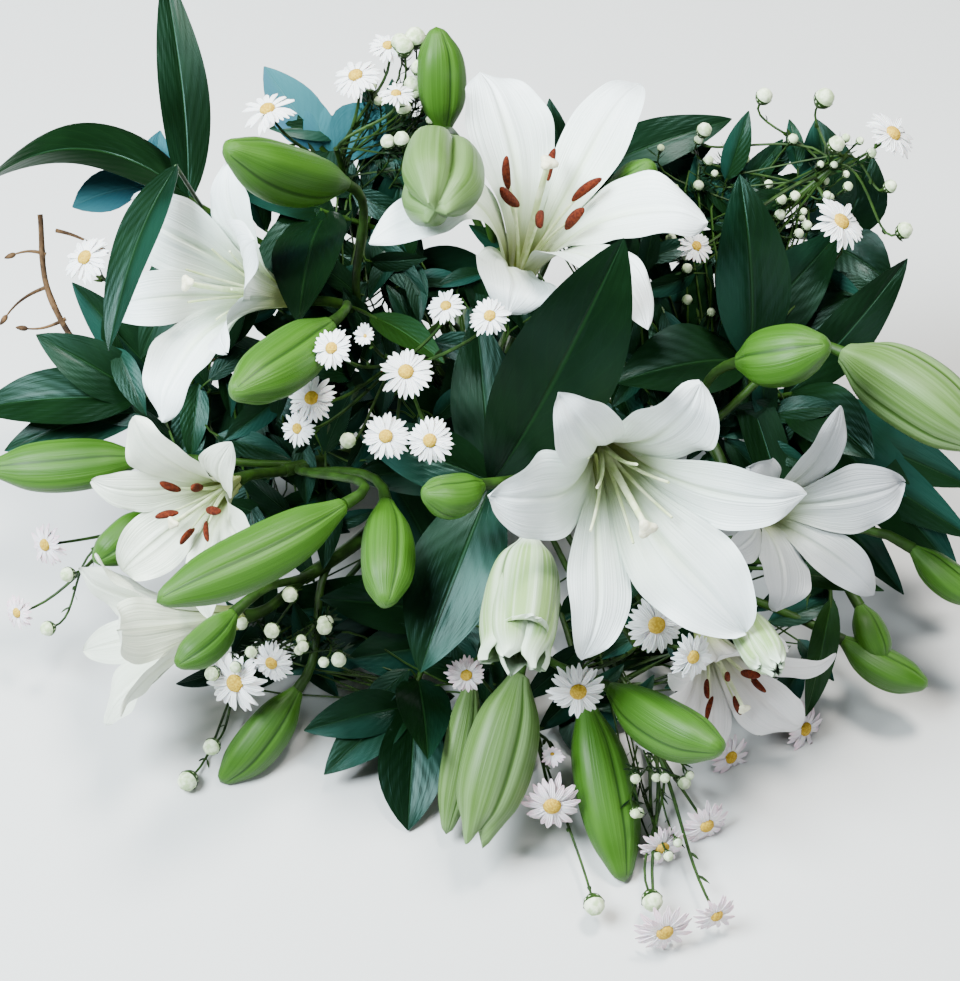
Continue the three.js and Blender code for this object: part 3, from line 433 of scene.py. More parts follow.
def tint(colour, by):
    """A colour with each of its three parts made stronger or weaker."""
    return tuple(min(1.0, part * share) for part, share in zip(colour, by))


def tepal_finish(name, white, rib):
    """A lily tepal: satin white, green in the throat, with a greenish rib and fine veins."""
    finish = Finish(name, roughness=0.42, subsurface_weight=0.1, subsurface_scale=0.003,
                    subsurface_radius=(1.0, 0.95, 0.8), sheen_weight=0.1)
    along, across, tone = finish.grain()
    cloud = finish.noise(26.0)
    veins = finish.noise(1.0, 2.0, finish.stripes(across * 19.0, along * 1.3, tone * 9.0))
    deep = 1 - along.between(0.05, 0.5)
    warm = 1 - along.between(0.15, 0.95)
    on_rib = (1 - abs(across).between(0.02, 0.2)) * (1 - along.between(0.3, 0.95))
    base = finish.mix(white, tint(white, (0.86, 0.9, 0.88)), veins.between(0.38, 0.66) * 0.7)
    base = finish.mix(base, rib, warm * (cloud.between(0.25, 0.75) * 0.35 + 0.35))
    base = finish.mix(base, rib, on_rib * 0.6)
    base = finish.mix(base, bpy.context.scene.bouquet.throat_colour, deep * 0.95)
    ridges = abs(across).between(0.0, 0.1) * (1 - abs(across).between(0.12, 0.3))
    height = veins * 0.8 + cloud * 0.25 + ridges * 0.6
    return finish.show(base_color=base, normal=finish.bump(height, 0.0011, 0.6))


def bud_finish(name, green, pale, deep, tips=0.35):
    """A lily bud: long soft veins, a pale rib, and grooves with painted shade between pale edges."""
    finish = Finish(name, roughness=0.48, specular_ior_level=0.24, coat_weight=0.03, coat_roughness=0.3)
    along, across, tone = finish.grain()
    veins = finish.noise(1.0, 2.0, finish.stripes(across * 9.0, along * 0.7, tone * 9.0))
    threads = finish.noise(1.0, 3.0, finish.stripes(across * 38.0, along * 1.5, tone * 5.0))
    edge = across.between(0.55, 0.84) * (1 - across.between(0.86, 0.97))
    rib = 1 - across.between(0.0, 0.2)
    inner = along.between(0.0, 0.18) * (1 - along.between(0.8, 1.0))
    base = finish.mix(green, pale, veins.between(0.4, 0.72) * 0.4)
    base = finish.mix(base, pale, edge * 0.45 + rib * 0.3)
    base = finish.mix(base, pale, (1 - inner) * tips)
    # The bottom of each groove is painted in the deep colour: painted shade.
    base = finish.mix(base, deep, across.between(0.9, 1.0) * 0.8)
    return finish.show(base_color=base, normal=finish.bump(veins + threads * 0.4, 0.0009, 0.5))


def leaf_finish(name, dark, fresh, vein, bloom, roughness, coat):
    """A leaf: mottled green, waxy, with a paler rib, faint side veins and a painted blue sky reflection on
    one half.
    """
    finish = Finish(name, roughness=roughness, specular_ior_level=0.16, specular_tint=LEAF_GLOSS,
                    coat_weight=coat, coat_roughness=0.2, coat_tint=LEAF_GLOSS)
    along, across, tone = finish.grain()
    cloud = finish.noise(18.0)
    threads = finish.noise(1.0, 2.0, finish.stripes(across * 16.0, along * 3.0, tone * 9.0))
    side_veins = ((along * 2.6 - abs(across) * 1.1) * 19.0 + tone * 6.0).sine()
    rib = 1 - abs(across).between(0.012, 0.06)
    base = finish.mix(dark, fresh, cloud.between(0.35, 0.75) * 0.6)
    base = finish.mix(base, fresh, tone.between(0.6, 1.0) * 0.6)
    # The patch on one half is a painted reflection of the blue sky; its colour is the one passed as bloom.
    half = across.between(-0.1, 0.5) * cloud.between(0.3, 0.6)
    base = finish.mix(base, bloom, half * tone.between(0.3, 0.7) * 0.7)
    base = finish.mix(base, vein, side_veins.between(0.9, 1.0) * 0.07)
    base = finish.mix(base, vein, rib * 0.4)
    height = threads * 0.3 + side_veins * 0.06 - rib * 0.9 + cloud * 0.7
    rough = cloud.between(0.3, 0.7) * 0.12 + (roughness - 0.05)
    return finish.show(base_color=base, roughness=rough, normal=finish.bump(height, 0.0012, 0.5))


def speckled_finish(name, first, second, scale, roughness, depth=0.0006, stretch=(1, 1, 1)):
    """A plain surface, mottled from one colour to another, with a fine relief."""
    finish = Finish(name, roughness=roughness, specular_ior_level=0.22)
    mottle = finish.noise(scale, 4.0, finish.place(stretch))
    base = finish.mix(first, second, mottle.between(0.35, 0.66))
    return finish.show(base_color=base, normal=finish.bump(mottle, depth, 0.7))


def ray_finish(name, white, blush):
    """An aster's rays: white, with two grooves in painted shade, and a blush at the tips."""
    finish = Finish(name, roughness=0.55, subsurface_weight=0.08, subsurface_scale=0.002)
    along, across, tone = finish.grain()
    grooves = (across * 9.4).sine()
    base = finish.mix(white, blush, along.between(0.1, 1.0) * (tone * 0.6 + 0.4))
    # The grooves are painted a greyer white: painted shade.
    base = finish.mix(base, tint(white, (0.84, 0.84, 0.86)), grooves.between(0.3, 1.0) * 0.4)
    return finish.show(base_color=base, normal=finish.bump(grooves, 0.0003, 0.5))


def cord_finish(name, straw, dark):
    """Twisted plant fibre: fine strands that follow the plies."""
    finish = Finish(name, roughness=0.85, sheen_weight=0.2)
    along, across, tone = finish.grain()
    strands = finish.noise(1.0, 4.0, finish.stripes(across * 22.0, along * 60.0, tone))
    base = finish.mix(dark, straw, strands.between(0.32, 0.68))
    return finish.show(base_color=base, normal=finish.bump(strands, 0.0006, 0.9))


# What makes each finish, its material's name, the colour that a user can change, and the shares of that
# colour's three parts in each of the finish's own colours. Without such a colour, the shares are the colours.
FINISHES = {
    "tepal": (tepal_finish, "white_tepal", "petal", [SAME, (0.64, 0.74, 0.42)]),
    # The next finish is a creamier and darker copy of the white tepal: a cream tint with painted shade, for
    # the two lilies low on the left.
    "cream": (tepal_finish, "cream_tepal", "petal", [(0.86, 0.84, 0.7), (0.74, 0.76, 0.48)]),
    "blush": (tepal_finish, "blush_tepal", "petal", [(0.93, 0.82, 0.82), (0.86, 0.72, 0.66)]),
    # The next finish is a darker, greyer copy of the white tepal: painted shade, for the lily on the right.
    "cool": (tepal_finish, "cool_tepal", "petal", [(0.44, 0.42, 0.44), (0.34, 0.36, 0.3)]),
    "bud": (bud_finish, "lily_bud", "bud", [SAME, (2.2, 1.7, 5.0), (0.3, 0.36, 0.5)]),
    "ripe": (bud_finish, "ripe_bud", "bud", [(2.6, 1.5, 8.0), (7.0, 3.2, 36.0), (0.9, 0.7, 2.0)]),
    "opening": (
        bud_finish, "opening_bud", "bud", [(8.0, 3.7, 32.0), (25.0, 8.4, 190.0), (1.4, 0.9, 4.0)], 0.9,
    ),
    "stem": (speckled_finish, "green_stem", "bud", [(0.35, 0.3, 0.6), (0.8, 0.66, 1.6)], 90.0, 0.5),
    "cut": (speckled_finish, "cut_end", None, [(0.42, 0.45, 0.2), (0.58, 0.56, 0.32)], 420.0, 0.8),
    "leaf": (
        leaf_finish, "dark_leaf", "leaf", [SAME, (2.6, 2.6, 2.2), (7.0, 5.0, 5.0), (6.0, 6.5, 24.0)],
        0.36, 0.03,
    ),
    "narrow": (
        leaf_finish, "lily_leaf", "bud", [(0.24, 0.24, 0.6), (0.5, 0.5, 1.2), SAME, (0.3, 0.36, 3.0)],
        0.45, 0.06,
    ),
    "blue": (
        leaf_finish, "blue_leaf", "eucalyptus", [SAME, (1.9, 1.4, 1.3), (3.0, 1.8, 1.6), (1.3, 0.8, 1.1)],
        0.55, 0.0,
    ),
    "rays": (ray_finish, "white_rays", "ray", [SAME, (0.95, 0.94, 0.94)]),
    "pink": (ray_finish, "blush_rays", "ray", [(0.98, 0.92, 0.95), (0.88, 0.58, 0.68)]),
    "disc": (speckled_finish, "yellow_disc", "disc", [(0.7, 0.6, 0.4), SAME], 900.0, 0.8, 0.001),
    "sprig": (speckled_finish, "aster_green", "bud", [(0.3, 0.26, 0.8), (0.8, 0.6, 1.6)], 140.0, 0.6),
    "needle": (speckled_finish, "needle_green", "leaf", [(1.5, 1.3, 1.2), (4.5, 4.0, 3.0)], 160.0, 0.5),
    "unopened": (
        speckled_finish, "unopened_head", "ray", [(0.42, 0.56, 0.28), (0.8, 0.88, 0.64)], 300.0, 0.7,
    ),
    "anther": (speckled_finish, "anther", "anther", [(0.45, 0.35, 0.4), SAME], 700.0, 0.95, 0.0012),
    "filament": (speckled_finish, "filament", None, [(0.5, 0.58, 0.28), (0.7, 0.74, 0.5)], 120.0, 0.5),
    "stigma": (speckled_finish, "stigma", None, [(0.66, 0.64, 0.42), (0.82, 0.79, 0.6)], 500.0, 0.35),
    "bark": (
        speckled_finish, "bark", None, [(0.025, 0.012, 0.005), (0.13, 0.07, 0.03)], 160.0, 0.85, 0.0015,
        (1, 1, 0.25),
    ),
    "cord": (cord_finish, "cord", "cord", [SAME, (0.45, 0.4, 0.33)]),
}
MADE = {}


def finish_of(name):
    """A finish's material, made when a piece first asks for it."""
    if name not in MADE:
        make, label, part, shares, *more = FINISHES[name]
        look = bpy.context.scene.bouquet
        base = getattr(look, f"{part}_colour") if part else SAME
        MADE[name] = make(label, *(tint(base, by) for by in shares), *more)
    return MADE[name]


# Pieces

class Piece:
    """One mesh, put together from shapes that are placed on the face in millimetres.

    Each point keeps its grain: how far along its shape it is, how far across, and the shape's tone.
    """

    def __init__(self, name, node, slot, finish="stem"):
        self.name = name
        self.node = node
        self.slot = slot
        self.chance = random.Random(name)
        self.bm = bmesh.new()
        self.grain = self.bm.verts.layers.float_vector.new("grain")
        self.finishes = []
        self.new_shape(finish)

    def new_shape(self, finish):
        """What comes next has this finish, and a tone of its own."""
        if finish not in self.finishes:
            self.finishes.append(finish)
        self.finish = self.finishes.index(finish)
        self.tone = self.chance.random()
        return self

    @contextlib.contextmanager
    def apart(self):
        """Makes shapes apart and joins them at the end, so that operators have little to go through."""
        whole = self.bm
        self.bm = bmesh.new()
        self.grain = self.bm.verts.layers.float_vector.new("grain")
        yield
        mesh = bpy.data.meshes.new("apart")
        self.bm.to_mesh(mesh)
        self.bm.free()
        self.bm = whole
        self.bm.from_mesh(mesh)
        self.grain = self.bm.verts.layers.float_vector["grain"]
        bpy.data.meshes.remove(mesh)

    def put(self, verts, place):
        """Moves new points to their places and gives them their grain and finish."""
        for vert in verts:
            spot, along, across = place(vert.co)
            vert.co = spot
            vert[self.grain] = (along, across, self.tone)
        faces = list(dict.fromkeys(face for vert in verts for face in vert.link_faces))
        for face in faces:
            face.material_index = self.finish
        return faces

    def blade(self, columns, rows, place):
        """An open surface. place is given how far along a point is, 0 to 1, and how far across, -1 to 1."""
        made = bmesh.ops.create_grid(self.bm, x_segments=columns, y_segments=rows, size=1)
        return self.put(made["verts"], lambda co: place((co.y + 1) / 2, co.x))

    def sheet(self, columns, rows, place, thickness):
        """A blade with a thickness."""
        bmesh.ops.solidify(self.bm, geom=self.blade(columns, rows, place), thickness=thickness)

    def tube(self, path, radius, sides, section=None):
        """A tube along points. Its radius may change along it, and its section along it and round it."""
        last = len(path) - 1
        wide = radius if callable(radius) else lambda share: radius
        turned = frames(path)
        made = bmesh.ops.create_grid(self.bm, x_segments=sides, y_segments=last, size=1)

        def place(co):
            i = round((co.y + 1) / 2 * last)
            turn = pi * co.x
            share = i / last
            out = wide(share) * (section(turn, share) if section else 1)
            side, over = turned[i]
            spot = path[i] + around(side, over, turn) * out
            return spot, share, abs(co.x)

        verts = made["verts"]
        self.put(verts, place)
        seam = [v for v in verts if len(v.link_faces) < 4]
        bmesh.ops.remove_doubles(self.bm, verts=seam, dist=0.001)
        rims = dict.fromkeys(e for v in seam if v.is_valid for e in v.link_edges if e.is_boundary)
        caps = bmesh.ops.holes_fill(self.bm, edges=list(rims), sides=0)["faces"]
        for cap in caps:
            cap.material_index = self.finish
        return caps

    def ball(self, sides, rows, place):
        """A closed round shape. place is given a point of a ball of radius 1."""
        made = bmesh.ops.create_uvsphere(self.bm, u_segments=sides, v_segments=rows, radius=1)
        self.put(made["verts"], place)

    def finish_up(self, edge=EDGE):
        """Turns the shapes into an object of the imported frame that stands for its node."""
        self.bm.transform(FACE)
        for vert in self.bm.verts:
            vert.co.z = max(vert.co.z, FLOOR_CLEARANCE)
        bmesh.ops.recalc_face_normals(self.bm, faces=self.bm.faces)
        mesh = bpy.data.meshes.new(self.name)
        self.bm.to_mesh(mesh)
        self.bm.free()
        mesh.shade_smooth()
        mesh.set_sharp_from_angle(angle=radians(edge))
        for finish in self.finishes:
            mesh.materials.append(finish_of(finish))
        made = add_object(self.name, mesh)
        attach(made, "root")
        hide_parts(self.node)
        return made


def frames(path):
    """Two directions across a path at each of its points, turning as little as they can."""
    last = len(path) - 1
    ways = [(path[min(i + 1, last)] - path[max(i - 1, 0)]).normalized() for i in range(last + 1)]
    side = square_to(ways[0])[0]
    turned = []
    for way in ways:
        side = (side - way * side.dot(way)).normalized()
        turned.append((side, way.cross(side)))
    return turned


# Blades

def blade_outline(s, broad):
    """Half the width of a blade along its length, as a share of its widest half."""
    return max(0, sin(pi * s ** (log(0.5) / log(broad)))) ** 0.8


def add_blade(piece, base, leaf):
    """A leaf from its base to its tip, arched along its length and folded at its rib."""
    end = seen(leaf.tip)
    ahead = (end - base).normalized()
    start = base - ahead * 1.5
    length = (end - start).length
    up = Vector(leaf.faces).normalized()
    up = (up - ahead * up.dot(ahead)).normalized()
    side = up.cross(ahead)
    phase = piece.chance.uniform(0, 6)
    sway = piece.chance.uniform(-0.03, 0.03) * length

    def place(s, t):
        half = max(0.35, leaf.width / 2 * blade_outline(s, leaf.broad))
        lift = leaf.arch * 4 * s * (1 - s) + abs(t) * half * RIB_FOLD
        lift += 0.045 * half * t ** 2 * sin(9 * s + phase + t)
        lift -= 0.55 * exp(-(t * half / 1.3) ** 2) * smoothstep(s, 0, 0.1)
        spot = start + ahead * s * length + up * lift
        spot += side * (t * half + sway * sin(pi * s) * (1 - s))
        return spot, s, t

    piece.sheet(12 if leaf.width > 24 else 8, max(8, round(length / LEAF_STEP)), place, BLADE)


# Lily blooms

class BloomAxis:
    """Places round a bloom's axis: a height above its base, an azimuth, a radius and a step aside."""

    def __init__(self, spec):
        self.size = spec.size
        self.way = Vector(spec.way).normalized()
        self.base = seen(spec.throat) - self.way * THROAT_HEIGHT * self.size
        self.right = (Vector((1, 0, 0)) - self.way * self.way.x).normalized()
        self.over = self.way.cross(self.right)
        self.roll = radians(spec.roll)

    def at(self, height, azimuth, radius, aside=0):
        turn = azimuth + self.roll
        right = radius * cos(turn) - aside * sin(turn)
        over = radius * sin(turn) + aside * cos(turn)
        return self.base + self.way * height + self.right * right + self.over * over


def tepal_line(length, tip_lean, foot):
    """The midline of a tepal: its height and radius at each share of its length."""
    steps = 40
    line = [(0, foot)]
    for i in range(steps):
        lean = radians(lerp(FOOT_LEAN, tip_lean, ((i + 0.5) / steps) ** 1.25))
        height, radius = line[-1]
        line.append((
            height + length / steps * cos(lean),
            radius + length / steps * sin(lean),
        ))

    def at(s):
        place = min(1, max(0, s)) * steps
        i = min(steps - 1, int(place))
        return [lerp(line[i][k], line[i + 1][k], place - i) for k in (0, 1)]

    return at


def add_tepal(piece, axis, spec, lobe):
    """One tepal. The broad ones lie inside the narrow ones, with waved margins."""
    broad = lobe % 2 == 0
    own = spec.lobes.get(lobe, Lobe())
    size = axis.size
    length = TEPAL_LENGTH * size * own.stretch
    line = tepal_line(length, own.lean or spec.tip_lean, BLOOM_FOOT * size)
    sector = radians(PETAL_SECTOR if broad else SEPAL_SECTOR)
    widest = (PETAL_WIDTH if broad else SEPAL_WIDTH) / 2 * size
    behind = 0 if broad else SEPAL_BEHIND
    phase = piece.chance.uniform(0, 6)
    ruffle = bpy.context.scene.bouquet.ruffle * 1000 * size * (1 if broad else 0.5)
    twist = piece.chance.uniform(-0.14, 0.14)
    hook = piece.chance.uniform(1, 6) * size

    def place(s, t):
        height, radius = line(s)
        low = line(s - 0.02)
        high = line(s + 0.02)
        slope = atan2(high[1] - low[1], high[0] - low[0])
        free = smoothstep(s, 0.3, 0.8)
        outline = sin(pi * min(1, s) ** 1.15) ** 0.65 if 0 < s < 0.999 else 0
        room = radius * sector
        half = max(0.5, (room ** -5 + max(widest * outline, 0.4) ** -5) ** -0.2)
        if s < 0.1:
            half = lerp(room, half, s / 0.1)
        curve = lerp(radius, radius * 2.2 + 25, free)
        azimuth = radians(60 * lobe + own.turn * free)
        swing = t * half / curve
        edge = free * abs(t) ** 3
        wave = edge * ruffle * (sin(13 * s + phase) + 0.4 * sin(29 * s + 2 * phase + t))
        from_rib = abs(t) * half / size
        furrow = 1.5 * exp(-(from_rib / 1.7) ** 2) - 0.9 * exp(-((from_rib - 4.2) / 2.2) ** 2)
        inward = curve * (1 - cos(swing)) + wave - behind - size * furrow * (1 - 0.75 * s)
        inward += twist * t * half * free - hook * smoothstep(s, 0.8, 1.0) ** 2
        spot = axis.at(
            height + inward * sin(slope),
            azimuth,
            radius - inward * cos(slope),
            curve * sin(swing),
        )
        return spot, s, t

    piece.new_shape(spec.finish).sheet(*(PETAL_GRID if broad else SEPAL_GRID), place, BLADE)


def add_bloom(name, spec):
    piece = Piece(f"bloom_{name}", f"lily_bloom_{name}", "white_tepal", spec.finish)
    axis = BloomAxis(spec)
    for lobe in range(6):
        add_tepal(piece, axis, spec, lobe)

    def foot(co):
        turn = atan2(co.y, co.x)
        out = hypot(co.x, co.y) * (BLOOM_FOOT + 1.1) * axis.size
        return axis.at((2.2 * co.z + 1.2) * axis.size, turn, out), 0.02, 0.5

    piece.ball(18, 8, foot)
    return piece.finish_up(PETAL_EDGE)


def add_stamens(name, spec):
    """The pistil with its lobed stigma, and six filaments, with or without their anthers."""
    piece = Piece(f"stamens_{name}", f"lily_stamens_{name}", "anther", "filament")
    axis = BloomAxis(spec)
    size = axis.size
    piece.new_shape("filament")
    style = reach(axis.at(1, 0, 0), axis.way, axis.at((PISTIL_HEIGHT - 2) * size, 0, 4), axis.way, 14)
    piece.tube(style, lambda share: size * lerp(2.1, 1.5, share), 10)
    side, other = square_to(axis.way)

    def stigma(co):
        turn = atan2(co.y, co.x)
        lobes = 1 + 0.24 * cos(3 * turn)
        out = hypot(co.x, co.y) * 4.6 * size * lobes
        lift = 2.6 * co.z * size - 0.6 * size * exp(-(hypot(co.x, co.y) / 0.3) ** 2)
        top = axis.at(PISTIL_HEIGHT * size, 0, 4) + axis.way * lift
        return top + around(side, other, turn) * out, 0.5, 0.5

    piece.new_shape("stigma").ball(24, 10, stigma)
    for k in range(6):
        azimuth = radians(60 * k + 30)
        spread = (20 if k % 2 else 24) * size
        tip = axis.at((60 + 3 * (k % 3)) * size, azimuth, spread)
        start = axis.at(2, azimuth, 0.8)
        bend = axis.at(34 * size, azimuth, spread * 0.25)
        path = [
            start * (1 - t) ** 2 + bend * 2 * t * (1 - t) + tip * t * t
            for t in (i / 12 for i in range(13))
        ]
        piece.new_shape("filament").tube(path, lambda share: size * lerp(1.1, 0.7, share), 7)
        if spec.anthers:
            add_anther(piece, axis, tip, azimuth, 20 + 25 * (k % 3))
    return piece.finish_up()


def add_anther(piece, axis, middle, azimuth, lean):
    """An anther balanced across the end of its filament, split along its length."""
    outward = (axis.at(0, azimuth, 1) - axis.at(0, azimuth, 0)).normalized()
    ahead = outward * sin(radians(lean)) + axis.way * cos(radians(lean))
    side, other = square_to(ahead.normalized())
    size = axis.size

    def place(co):
        turn = atan2(co.y, co.x)
        out = hypot(co.x, co.y) * size * ANTHER_THICK / 2 * (1 - 0.22 * cos(2 * turn))
        bow = 0.9 * size * co.z ** 2
        spot = middle + ahead * co.z * ANTHER_LENGTH / 2 * size
        return spot + side * (out * cos(turn) + bow) + other * out * sin(turn), 0.5, 0.5

    piece.new_shape("anther").ball(14, 14, place)


# Lily buds

def add_bud(piece, base, tip, width, bend=4, finish="bud", parted=0.0, lobed=0.0):
    """A closed bud: three broad tepals with ribs, and the grooves between them."""
    start, end = seen(base), seen(tip)
    ahead = (end - start).normalized()
    side, other = square_to(ahead)
    level = hypot(ahead.x, ahead.z)
    girth = [0.24, 0.84, 1, lerp(0.86, 0.92, lobed), lerp(0.3, 0.26, lobed)]
    length = (end - start).length
    lean = piece.chance.uniform(-0.4, 0.4)

    def place(co):
        s = (asin(max(-1, min(1, co.z))) / (pi / 2) + 1) / 2
        turn = atan2(co.y, co.x)
        from_rib = abs((turn / tau * 3 + 0.5) % 1 * 2 - 1)
        swell = sin(pi * min(1, s)) ** 0.5
        groove = (0.085 + 0.14 * lobed) * exp(-((1 - from_rib) / lerp(0.13, 0.2, lobed)) ** 2)
        rib = 0.03 * exp(-(from_rib / 0.14) ** 2) - 0.014 * exp(-((from_rib - 0.36) / 0.14) ** 2)
        section = 1 + (0.06 + 0.04 * lobed) * cos(3 * turn) + (rib - groove) * swell
        round_end = max(0, 1 - max(0, (s - 0.93) / 0.07) ** 2) ** 0.5
        along = s
        if parted and s > 0.8:
            round_end = 0 if s > 0.99 else max(round_end, 0.8)
            along += parted * smoothstep(s, 0.8, 0.97) * cos(3 * turn)
            along = lerp(0.9, 0.97, lobed) if s > 0.99 else along
        radius = width / 2 * through_points(girth, s) * section * round_end * min(1, s / 0.03)
        spun = turn + lean * (s - 0.5)
        spot = start + ahead * along * length
        spot += side * radius * cos(spun) + other * radius * sin(spun)
        spot.y -= bend * sin(pi * s) * level
        return spot, s, from_rib

    piece.new_shape(finish).ball(*BUD_GRID, place)


def add_opening_bud(name, spec):
    """A bud about to open: three lobed tepals round three inner ones, parted at their tips."""
    parted = spec.parted
    finish = "opening" if parted else "ripe"
    piece = Piece(f"opening_bud_{name}", f"lily_opening_bud_{name}", "pale_bud", finish)
    if not parted:
        add_bud(piece, spec.base, spec.tip, spec.width * 1.1, 0, finish, 0.04, 1.0)
        return piece.finish_up(PETAL_EDGE)
    start, ahead = start_of(spec)
    side, other = square_to(ahead)
    length = (seen(spec.tip) - start).length
    # The tepal that rolls back is turned outwards and down on the face.
    outlook = FACE.to_3x3() @ Vector((0, 0, 1))
    towards = atan2(other.dot(outlook), side.dot(outlook))
    girth = [0.3, 0.78, 0.97, 1, 0.97, 0.84, lerp(0.02, 0.52, parted)]
    for inner in (True, False):
        for k in range(3):
            middle = towards + radians(120 * k + (60 if inner else 0))
            rolled = 0 if inner or k else parted
            curl = piece.chance.uniform(0.14, 0.26) * parted + 0.16 * rolled
            reach_out = piece.chance.uniform(-0.03, 0.02) - 0.2 * rolled

            def place(s, t):
                tip = smoothstep(s, 0.86 if inner else 0.76, 1.0)
                taper = lerp(0.45, 1, max(0, 1 - tip ** 3) ** 0.5) * (1 - 0.6 * parted * tip ** 4)
                turn = middle + t * radians(68 if inner else 60) * taper
                lobe = 1 + (0.05 + 0.16 * smoothstep(s, 0.25, 0.9)) * (1 - 2.2 * t * t)
                rib = 0.03 * exp(-(t / 0.1) ** 2) - 0.018 * exp(-((abs(t) - 0.28) / 0.13) ** 2)
                radius = spec.width / 2 * through_points(girth, s * 0.999) * (lobe + rib)
                radius *= lerp(0.84, 0.6, tip * parted) if inner else 1.0
                radius += spec.width * curl * tip ** 2 * (0.35 if inner else 1)
                radius += 0.9 * tip * sin(7 * t + 3 * s + k)
                along = s + (reach_out + (0.06 * parted if inner else 0)) * tip - 0.1 * curl * tip ** 3
                spot = start + ahead * along * length
                spot += around(side, other, turn) * radius
                return spot, s, abs(t)

            piece.new_shape(finish).sheet(*OPENING_GRID, place, OPENING_TEPAL)
    return piece.finish_up(PETAL_EDGE)


# Asters

def add_head(piece, centre, way, radius, rays_finish):
    """An aster: narrow rays in two rows round a domed disc, over a green cup."""
    chance = piece.chance
    way = (way + Vector([chance.uniform(-0.16, 0.16) for _ in range(3)])).normalized()
    side, other = square_to(way)
    young = radius < YOUNG_HEAD
    count = YOUNG_RAYS if young else RAYS
    first = chance.uniform(0, 6)
    strips = []
    for k in range(count):
        azimuth = first + tau * (k + chance.uniform(-0.22, 0.22)) / count
        out = around(side, other, azimuth)
        across = way.cross(out)
        length = radius * chance.uniform(0.86, 1.03)
        rise = (0.75 if young else 0.05) + chance.uniform(-0.12, 0.2) + 0.06 * (k % 2)
        half = radius * (0.12 if young else 0.104)
        droop = chance.uniform(0.1, 0.34)

        def place(s, t):
            run = lerp(0.2 * radius, length, s)
            wide = half * (0.55 + 0.45 * smoothstep(s, 0, 0.4)) * (1 - 0.75 * smoothstep(s, 0.86, 1))
            lift = run * rise - droop * radius * s * s + 0.25 * wide * abs(t)
            return centre + out * run * (1 - 0.18 * rise) + way * lift + across * t * wide, s, t

        strips += piece.new_shape(rays_finish).blade(*RAY_GRID, place)
    bmesh.ops.solidify(piece.bm, geom=strips, thickness=RAY)

    def disc(co):
        spread = (0.2 if young else 0.29) * radius
        spot = centre + (side * co.x + other * co.y) * spread + way * (co.z * 0.17 * radius + 0.08 * radius)
        return spot, 0.5, 0.5

    piece.new_shape("disc").ball(16, 8, disc)

    def cup(co):
        low = smoothstep(-co.z, -0.2, 1)
        spread = radius * lerp(0.26, 0.1, low)
        depth = -0.1 * radius - 5.4 * low
        return centre + (side * co.x + other * co.y) * spread + way * depth, 0.5, 0.5

    piece.new_shape("sprig").ball(12, 8, cup)


def add_unopened(piece, centre, way, radius):
    """A round unopened head in its green cup."""
    side, other = square_to(way)

    def place(co):
        scale = 1 + 0.07 * cos(6 * atan2(co.y, co.x)) * max(0, co.z)
        spot = centre + (side * co.x + other * co.y) * radius * 0.92 * scale + way * co.z * radius
        return spot, 0.5, 0.5

    piece.new_shape("unopened").ball(12, 8, place)

    def cup(co):
        spread = radius * 0.98
        lift = min(co.z, -0.02) * radius * 1.1
        return centre + (side * co.x + other * co.y) * spread * (1 + 0.1 * co.z) + way * lift, 0.5, 0.5

    piece.new_shape("sprig").ball(10, 6, cup)


def add_slim_leaves(piece, path, count, length, finish="sprig", half=1.1):
    """Small narrow leaves all round a thin stalk."""
    for _ in range(count):
        i = piece.chance.randrange(1, len(path) - 1)
        way = (path[i + 1] - path[i - 1]).normalized()
        side, other = square_to(way)
        turn = piece.chance.uniform(0, tau)
        out = around(side, other, turn)
        base = lerp(path[i], path[i + 1], piece.chance.random())
        tip = base + (way * 0.8 + out).normalized() * length * piece.chance.uniform(0.6, 1.1)
        across = way.cross(out)

        def place(s, t):
            wide = half * sin(pi * s ** 0.8) + 0.1
            return lerp(base, tip, s) + across * t * wide - out * 1.2 * s * s, s, t

        piece.new_shape(finish).sheet(*NEEDLE_GRID, place, NEEDLE)


def strewn(piece, group):
    """Points strewn at random round the middle of a group."""
    for _ in range(group.count):
        yield Vector([m + piece.chance.uniform(-s, s) for m, s in zip(group.middle, group.spread)])


def add_filler(piece, line, group):
    """Fine twiglets round the stem's top, each with needles and a small unopened head."""
    chance = piece.chance
    crown = line.crown()
    needles = round(bpy.context.scene.bouquet.needles * group.needles)
    for spot in strewn(piece, group):
        centre = seen(spot)
        way = outward(spot)
        start = chance.choice(crown)
        toward = (centre - start).normalized()
        path = reach(start, toward, centre - way * group.size * 0.8, way, 8)
        with piece.apart():
            piece.new_shape("sprig").tube(path, STALK / 2, TWIGLET_SIDES)
            add_slim_leaves(piece, path[3:], needles, 9, "needle", 0.55)
            add_unopened(piece, centre, way, group.size * chance.uniform(0.7, 1.15))


def add_small_leaves(piece, line, group):
    """Small dark leaves on thin side twigs, low among the stems."""
    chance = piece.chance
    crown = line.crown()
    for spot in strewn(piece, group):
        turn = chance.uniform(0, tau)
        ahead = Vector((cos(turn), sin(turn), chance.uniform(-0.15, 0.4)))
        length = chance.uniform(*SMALL_LEAF)
        base = seen(spot)
        start = min(crown, key=lambda point: (point - base).length)
        faces = (chance.uniform(-0.5, 0.5), chance.uniform(-0.5, 0.5), 1)
        path = reach(start, (base - start).normalized(), base, ahead.normalized(), 6)
        with piece.apart():
            piece.new_shape("stem").tube(path, SIDE_TWIG, TWIGLET_SIDES)
            piece.new_shape("leaf")
            add_blade(piece, base, Leaf(spot + ahead * length, length * LEAF_SHARE, faces, 2.5))


# The layout, as it is seen on the face

